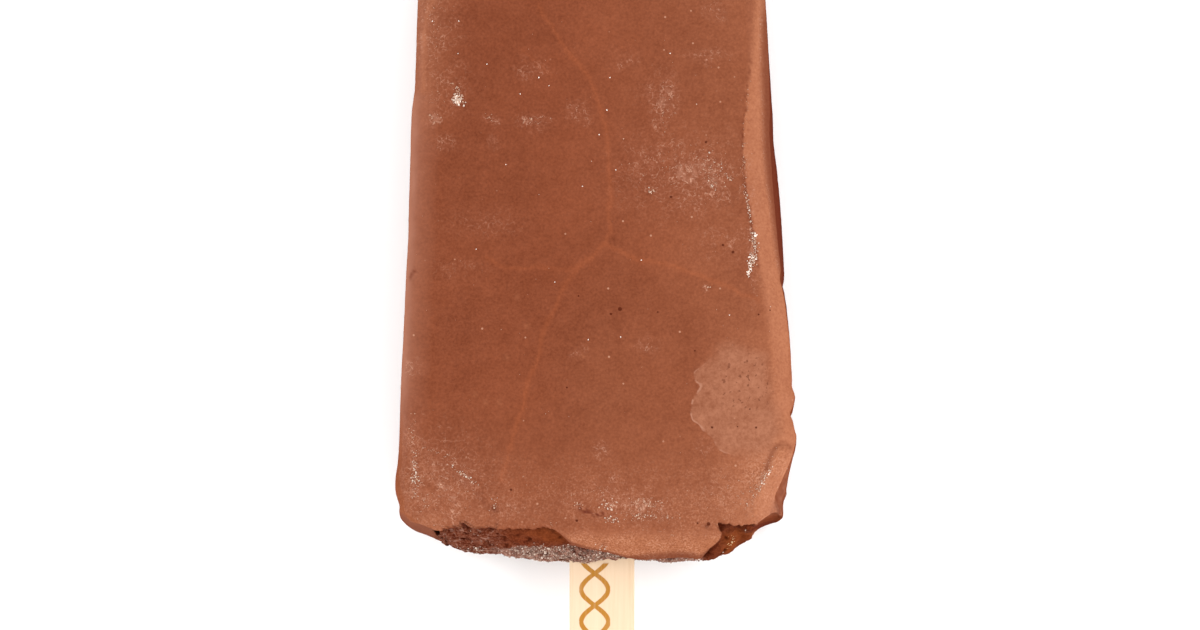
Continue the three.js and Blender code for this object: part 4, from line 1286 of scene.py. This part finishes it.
# %% [markdown]
# Milk chocolate that has been in a freezer isn't glossy. It is a satin brown with a fine papery grain,
# mottled by the cocoa butter. The veins are a little more orange, the touched patch is paler and
# smoother with a crisp light border, and bloom and frost dull it towards a greyish pink. Painted light
# makes it paler on the bevel, the lower right, the flap and the corners' walls, and the bloom carries a
# painted highlight on the left edge and painted shade under the left corner. The order of the blends
# is the order of the layers on the bar, with the painted shade of the walls and of the pinholes on top;
# the sand's hollows and the pits in the frost get painted shade too. A thin clear coat gives the
# sheen, on what faces up and isn't dark.

# %% Milk chocolate
BROWN_LOW = tint(0.100, 0.0212, 0.0071)
BROWN_HIGH = tint(0.208, 0.0540, 0.0217)
PALE_LOW = tint(0.230, 0.0690, 0.0315)
PALE_HIGH = tint(0.385, 0.148, 0.0725)
VEIN_GLOW = tint(0.060, 0.0155, 0.0045)
PATCH_LOW = tint(0.190, 0.0620, 0.0300)
PATCH_HIGH = tint(0.315, 0.128, 0.0720)
FROST_BROWN = tint(0.262, 0.103, 0.0630)
FROST_PALE = tint(0.460, 0.240, 0.160)
SAND = tint(0.520, 0.260, 0.165)
# Colour of the painted shade on the walls, the back, the slit, the rim and the undersides.
SHADE_BROWN = tint(0.0800, 0.0140, 0.0085)
# Colour of the painted shade in the pinholes.
HOLE_SHADE = tint(0.0600, 0.0100, 0.0040)
DOT_PINK = tint(0.396, 0.198, 0.125)
PINHOLES = [  # x, y and radius
    (14.24, 30.65, 0.2), (9.65, 23.36, 0.2), (17.7, 16.1, 0.24), (16.4, 17.02, 0.2), (2.99, 8.59, 0.34),
    (1.82, 7.94, 0.2), (19.8, -4.5, 0.12), (14.9, -6.9, 0.2), (20.6, -6.9, 0.17), (18.2, -6.8, 0.10),
    (-11.1, -15.0, 0.2), (14.4, -19.4, 0.3), (13.0, -19.3, 0.14), (-2.6, -19.0, 0.2), (12.7, 3.1, 0.12),
    (-2.4, 10.3, 0.14), (7.9, 8.2, 0.12), (21.0, 7.9, 0.14), (22.5, 8.5, 0.12), (-3.9, -1.7, 0.14),
]
FINE_HOLES = (19.3, -1.0, 5.0)  # x, y and radius of the area that has them


def milk_chocolate():
    finish = Finish("milk chocolate")
    cloud = finish.noise(14, 2)
    mottle = finish.noise(2.2, 4, 0.6)
    grain = finish.noise(0.34, 2, 0.6, (7, 3, 1))
    fibre = finish.noise(0.75, 3, 0.65, (1, 9, 4))
    speckle = (grain - 0.5) * 1.0 + (fibre - 0.5) * 0.35
    light = finish.clamp(0.5 + (cloud - 0.5) * 0.6 + (mottle - 0.5) * 0.45 + speckle)
    colour = finish.blend(light, BROWN_LOW, BROWN_HIGH)
    # Painted light, with the chocolate's own pale places, lightens it by the pale mark.
    colour = finish.blend(finish.mark("pale_and_painted_light") * 0.95, colour, finish.blend(light, PALE_LOW, PALE_HIGH))
    vein = finish.mark("vein") * (0.45 + 0.7 * fibre)
    colour = finish.blend(vein, colour, VEIN_GLOW, "ADD")

    patch = finish.mark("patch")
    crisp = finish.mark("patch_edge")
    patch_in = crisp * finish.step(patch, -0.10, 0.22) + (1 - crisp) * finish.step(patch, -1.0, 1.4)
    rim = finish.step(patch, -0.16, 0.0) * (1 - finish.step(patch, 0.02, 0.22)) * crisp
    rim = rim * finish.step(finish.noise(1.4, 2, 0.5, (2, 8, 0)), 0.40, 0.58)
    warmed = finish.clamp(0.5 + (mottle - 0.5) * 1.5 + (fibre - 0.5) * 1.2 + (grain - 0.5) * 0.8)
    colour = finish.blend(patch_in * 0.8, colour, finish.blend(warmed, PATCH_LOW, PATCH_HIGH))
    colour = finish.blend(rim * 0.42, colour, FROST_PALE)

    sandy = finish.mark("sandy")
    sand_grain = finish.noise(0.24, 2, 0.6, (8, 2, 5))
    sand = finish.step(sand_grain, 0.46, 0.70) * finish.step(mottle, 0.30, 0.62)
    colour = finish.blend(finish.clamp(sandy * sand * 0.36), colour, SAND)
    # Painted shade in the hollows of the sand.
    hollow_shade = 1 - finish.step(sand_grain, 0.32, 0.47)
    colour = finish.blend(finish.clamp((sandy - 0.2) * hollow_shade * 0.34), colour, BROWN_LOW)

    # The bloom mark blends bloom, a painted highlight on the left edge and painted shade under the left corner.
    bloom_and_painted_light = finish.clamp(finish.mark("bloom_and_painted_light") * (0.75 + 0.5 * mottle))
    colour = finish.blend(bloom_and_painted_light, colour, FROST_BROWN)

    frost = finish.mark("frost")
    curl = finish.noise(0.75, 2, 0.5, (5, 5, 0))
    curl_gap = finish.node("ShaderNodeMath", {"operation": "ABSOLUTE"}, {0: curl - 0.5})
    curls = (1 - finish.step(curl_gap, 0.008, 0.035)) * finish.step(fibre, 0.40, 0.60)
    settled = finish.step(grain, 0.45, 0.70)
    haze = finish.clamp(frost * (0.15 + 0.65 * settled))
    colour = finish.blend(haze, colour, FROST_BROWN)
    colour = finish.blend(finish.step(frost, 0.55, 1.0) * (0.05 + 0.25 * fibre), colour, FROST_PALE)
    colour = finish.blend(finish.clamp(frost * curls * 1.1), colour, FROST_PALE)
    # Painted shade in the pits of the frosted places.
    pit_shade = (1 - finish.step(sand_grain, 0.34, 0.44)) * finish.step(frost, 0.30, 0.60)
    colour = finish.blend(pit_shade * 0.35, colour, BROWN_LOW)

    cells = {"Vector": finish.place, "Scale": 0.55, "Randomness": 1.0}
    dot_gap = finish.node("ShaderNodeTexVoronoi", {}, cells)
    dot_luck = finish.node("ShaderNodeTexVoronoi", {}, cells, output="Color")
    dot_luck = finish.node("ShaderNodeSeparateColor", {}, {0: dot_luck})
    dots = (1 - finish.step(dot_gap, 0.05, 0.10)) * finish.step(dot_luck, 0.62, 0.9)
    colour = finish.blend(dots * 0.75, colour, DOT_PINK)

    # Painted shade: the walls, the back, the slit, the rim, the flap's foot and the undersides.
    colour = finish.blend(finish.mark("dark_and_painted_shade") * 0.9, colour, SHADE_BROWN)
    pinhole = 0.0
    for x, y, radius in PINHOLES:
        pinhole = pinhole + finish.near(x, y, radius)
    fine_holes = 1 - finish.step(finish.noise(0.50, 1, 0.3, (3, 1, 6)), 0.29, 0.36)
    fine_holes = fine_holes * finish.near(*FINE_HOLES)
    holes = finish.clamp(pinhole + fine_holes * 0.55)
    # Painted shade in the pinholes.
    colour = finish.blend(holes * 0.85, colour, HOLE_SHADE)

    roughness = finish.clamp(0.55 + 0.12 * mottle + 0.2 * haze)
    sheen = finish.clamp((1 - 1.6 * finish.mark("dark_and_painted_shade") - holes) * finish.mark("up") * (0.35 + 0.3 * mottle))
    height = 0.40 * grain + 0.20 * fibre + 0.30 * mottle + 0.9 * frost * curls - 1.2 * holes
    height = height + 0.7 * sandy * sand_grain
    gloss = {"Coat_Weight": sheen, "Coat_Roughness": 0.5, "Coat_IOR": 1.25}
    return finish.done(colour, roughness, height, 0.05, Specular_IOR_Level=0.0, **gloss)


chocolate = milk_chocolate()
coating.data.materials.append(chocolate)
print("Milk chocolate has", len(chocolate.node_tree.nodes), "nodes")

# %% [markdown]
# The filling is the darkest thing here. It was churned with air, so its surface is full of pores, and
# light soaks into it, which shows as amber where it is thin and clean. Rime greys its outer rim, and
# crumbs and pits break up its left. Painted shade darkens it under the lip, behind the flap and in the
# pores and pits.

# %% Chocolate ice cream
ICE_LOW = tint(0.0550, 0.0080, 0.0027)
ICE_HIGH = tint(0.150, 0.0345, 0.0130)
ICE_AMBER = tint(0.190, 0.0430, 0.0108)
# Colour of the painted shade on the filling.
ICE_SHADE = tint(0.0440, 0.0058, 0.0020)
ICE_RIME = tint(0.300, 0.165, 0.125)


def chocolate_ice_cream():
    finish = Finish("chocolate ice cream")
    lump = finish.noise(0.9, 4, 0.65)
    crumb = finish.noise(0.28, 3, 0.6, (4, 2, 8))
    churn = finish.clamp(finish.step(lump, 0.3, 0.7) * 0.6 + finish.step(crumb, 0.35, 0.65) * 0.5)
    colour = finish.blend(churn, ICE_LOW, ICE_HIGH)
    colour = finish.blend(finish.clamp(finish.mark("amber") * (0.4 + 0.9 * crumb)), colour, ICE_AMBER)
    rime = finish.mark("rime")
    settled = finish.step(crumb, 0.46, 0.60) * 0.8 + finish.step(lump, 0.52, 0.62) * 0.35 + 0.30 * rime * rime
    rime_share = finish.clamp(rime * settled)
    colour = finish.blend(rime_share, colour, ICE_RIME)
    crumbly = finish.step(rime, 0.10, 0.20)
    crumbs = finish.step(finish.noise(0.55, 2, 0.5, (6, 1, 3)), 0.58, 0.66) * crumbly
    colour = finish.blend(crumbs * 0.45, colour, ICE_RIME)
    pit_shade = (1 - finish.step(finish.noise(1.1, 2, 0.5, (2, 7, 1)), 0.36, 0.44)) * crumbly
    # Painted shade under the lip, behind the flap and in the pores and pits.
    deep = finish.clamp(finish.mark("deep") + pit_shade * 0.6)
    colour = finish.blend(deep * 0.74, colour, ICE_SHADE)
    roughness = finish.clamp(0.5 + 0.3 * rime_share + 0.15 * lump)
    height = 0.6 * crumb + 0.8 * lump
    gloss = {"Coat_Weight": 0.06 * (1 - deep), "Coat_Roughness": 0.35, "Coat_IOR": 1.25}
    return finish.done(colour, roughness, height, 0.16, Specular_IOR_Level=0.0, **gloss)


ice_cream = chocolate_ice_cream()
filling.data.materials.append(ice_cream)
print("Ice cream has", len(ice_cream.node_tree.nodes), "nodes")

# %% [markdown]
# Frost is white because light bounces about inside it. The crystals on the filling are dusted with
# cocoa and browner, and the sugar grains in the chip shine like gold. Each kind has its own row of
# tones, from dull to bright, and each crystal has one tone all over.


# %% Frost and sugar
def crystal_finish(name, stops, roughness):
    """The tone of a crystal says where its colour lies between the stops."""
    finish = Finish(name)
    tone = finish.mark("tone")
    colour = finish.node("ShaderNodeValToRGB", {"stops": stops}, {"Fac": tone})
    height = finish.noise(0.12, 2)
    return finish.done(colour, roughness + 0.1 * tone, height, 0.01, IOR=1.31)


RIME_TONES = [
    (0.0, tint(0.120, 0.0500, 0.0320)), (0.65, tint(0.400, 0.270, 0.205)), (1.0, tint(0.720, 0.590, 0.500)),
]
SPECK_TONES = [
    (0.0, tint(0.250, 0.100, 0.0550)), (0.45, tint(0.440, 0.250, 0.165)),
    (0.75, tint(0.520, 0.400, 0.325)), (1.0, tint(0.860, 0.740, 0.650)),
]
GOLD_TONES = [
    (0.0, tint(0.300, 0.110, 0.0350)), (0.65, tint(0.560, 0.300, 0.120)), (1.0, tint(0.800, 0.600, 0.360)),
]
rime.data.materials.append(crystal_finish("rime", RIME_TONES, 0.40))
specks.data.materials.append(crystal_finish("frost specks", SPECK_TONES, 0.35))
gold.data.materials.append(crystal_finish("golden grains", GOLD_TONES, 0.25))
print("Crystal finishes:", [piece.data.materials[0].name for piece in (rime, specks, gold)])

# %% [markdown]
# The stick is birch: nearly white, with long faint fibres along it and a few darker flecks. The frame
# already has its true shape, so the CAD node stays and only gets a finish. Such sticks carry a printed
# line in caramel ink. Here it is a plain plaited ornament, drawn by two sine waves that cross: a place
# is inked where it is nearer to one of the waves than half a pen stroke.

# %% Birch wood with a printed plait
PLAIT_X = -0.95  # middle of the plait, from the middle of the stick
PLAIT_REACH = 1.75
PLAIT_WAVE = 8.4
PLAIT_STROKE = 0.27
PLAIT_START = -71.0
PLAIT_END = -24.0
PLAIT_INK = tint(0.370, 0.150, 0.0086)
WOOD_LOW = tint(0.650, 0.466, 0.306)
WOOD_HIGH = tint(0.695, 0.518, 0.352)
WOOD_BAND = tint(0.712, 0.545, 0.386)
WOOD_FLECK = tint(0.447, 0.284, 0.146)


def birch():
    finish = Finish("birch")
    stretch = {0: finish.place, 1: (1.0, 0.045, 1.0)}
    along_grain = finish.node("ShaderNodeVectorMath", {"operation": "MULTIPLY"}, stretch)
    fine = {"Vector": along_grain, "Scale": 3.2, "Detail": 5.0, "Roughness": 0.62}
    fibre = finish.node("ShaderNodeTexNoise", {}, fine)
    band = finish.node("ShaderNodeTexNoise", {}, {"Vector": along_grain, "Scale": 0.55, "Detail": 2.0})
    colour = finish.blend(finish.step(fibre, 0.3, 0.75), WOOD_LOW, WOOD_HIGH)
    colour = finish.blend(finish.step(band, 0.35, 0.7) * 0.5, colour, WOOD_BAND)
    colour = finish.blend(finish.step(fibre, 0.68, 0.74) * 0.25, colour, WOOD_FLECK)

    x = finish.node("ShaderNodeSeparateXYZ", {}, {0: finish.place}, output="X")
    x = x - (STICK_X + SIDE_SHIFT + PLAIT_X)
    y = finish.node("ShaderNodeSeparateXYZ", {}, {0: finish.place}, output="Y")
    turn = y * (2 * math.pi / PLAIT_WAVE)
    wave = finish.node("ShaderNodeMath", {"operation": "SINE"}, {0: turn}) * PLAIT_REACH
    slope = finish.node("ShaderNodeMath", {"operation": "COSINE"}, {0: turn})
    slope = finish.node("ShaderNodeMath", {"operation": "ABSOLUTE"}, {0: slope})
    pen = PLAIT_STROKE * (1 + 0.75 * slope) + 0.10 * (finish.noise(0.5, 2) - 0.5)
    inked = 0.0
    for way in (1, -1):
        gap = finish.node("ShaderNodeMath", {"operation": "ABSOLUTE"}, {0: x - way * wave})
        inked = inked + (1 - finish.step(gap - pen, -0.06, 0.06))
    within = finish.step(y, PLAIT_START, PLAIT_START + 0.3) * (1 - finish.step(y, PLAIT_END, PLAIT_END + 0.3))
    ink = finish.clamp(finish.clamp(inked) * within * (0.6 + 0.75 * fibre))
    colour = finish.blend(ink, colour, PLAIT_INK)
    roughness = 0.62 + 0.1 * fibre
    return finish.done(colour, roughness, fibre, 0.03, Specular_IOR_Level=0.3)


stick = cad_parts["stick"]
stick.data.materials.clear()
stick.data.materials.append(birch())
print("The plait has", round((PLAIT_END - PLAIT_START) / PLAIT_WAVE, 1), "waves")

# %% [markdown]
# The bar lies on a plain white table in a soft studio. A large lamp stands to the right and a
# slightly weaker one to the left, and two faint ones stand past the tip and past the stick. With so
# much light from all round, the table shows hardly any shadow, and the lamps at the sides make the
# bevels lighter than the face, as on the real thing. Painted light on the right bevel adds to it.

# %% Table and lamps
TABLE_SIZE = 6.0
table_mesh = bpy.data.meshes.new("table")
plane = bmesh.new()
bmesh.ops.create_grid(plane, x_segments=1, y_segments=1, size=TABLE_SIZE / 2)
plane.to_mesh(table_mesh)
plane.free()
table = add_object("table", table_mesh)
white = Finish("white table")
table_tone = white.blend(white.noise(60, 2), tint(0.93, 0.93, 0.93), tint(0.95, 0.95, 0.95))
table_mesh.materials.append(white.done(table_tone, 0.8 + 0.02 * white.noise(5, 2), white.noise(2, 2), 0.005))
table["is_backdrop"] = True

AIM = Vector((0.000525, 0.0078, 0.0205))  # what the lamps and the camera point at
LAMPS = [  # name, place, width, power in watts
    ("right lamp", (0.62, -0.12, 0.42), 0.9, 5.6),
    ("left lamp", (-0.62, -0.05, 0.42), 0.9, 4.9),
    ("far lamp", (0.0, 0.62, 0.52), 0.9, 2.3),
    ("low lamp", (0.05, -0.65, 0.35), 0.8, 1.8),
]
for name, place, width, power in LAMPS:
    light = bpy.data.lights.new(name, "AREA")
    light.shape = "DISK"
    light.size = width
    light.energy = power
    lamp = add_object(name, light)
    lamp.location = place
    lamp.rotation_euler = (AIM - Vector(place)).to_track_quat("-Z", "Y").to_euler()

WORLD_STRENGTH = 0.8
world = bpy.data.worlds.new("studio")
world.use_nodes = True
background = world.node_tree.nodes["Background"]
background.inputs["Color"].default_value = (1, 1, 1, 1)
background.inputs["Strength"].default_value = WORLD_STRENGTH
bpy.context.scene.world = world
bpy.context.scene.view_settings.view_transform = "Standard"
print("The lamps give", round(sum(power for name, place, width, power in LAMPS), 1), "watts in all")

# %% [markdown]
# The camera looks down almost straight, leaning 7 degrees towards the stick end, so that a little of
# the filling shows below the lip. Its lens is long and it stands well back for a thing so small,
# which keeps the sides nearly parallel.

# %% Camera
CAMERA_RISE = math.radians(83)
CAMERA_DISTANCE = 0.6
CAMERA_LENS = 138.6
SENSOR_WIDTH = 36
camera_data = bpy.data.cameras.new("camera")
camera_data.lens = CAMERA_LENS
camera_data.sensor_width = SENSOR_WIDTH
camera = add_object("camera", camera_data)
direction = Vector((0, -math.cos(CAMERA_RISE), math.sin(CAMERA_RISE)))
camera.location = AIM + direction * CAMERA_DISTANCE
camera.rotation_euler = (math.radians(90) - CAMERA_RISE, 0, 0)
bpy.context.scene.camera = camera
print("The camera stands at", camera.location)

# %% [markdown]
# Last, the finished bar's box is set beside the frame's in `sizes`, and printed.

# %% Sizes, and the end
finished_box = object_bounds()
sizes = {"frame": [list(corner) for corner in frame_box], "finished": [list(corner) for corner in finished_box]}
print("The finished bar's box is", finished_box)
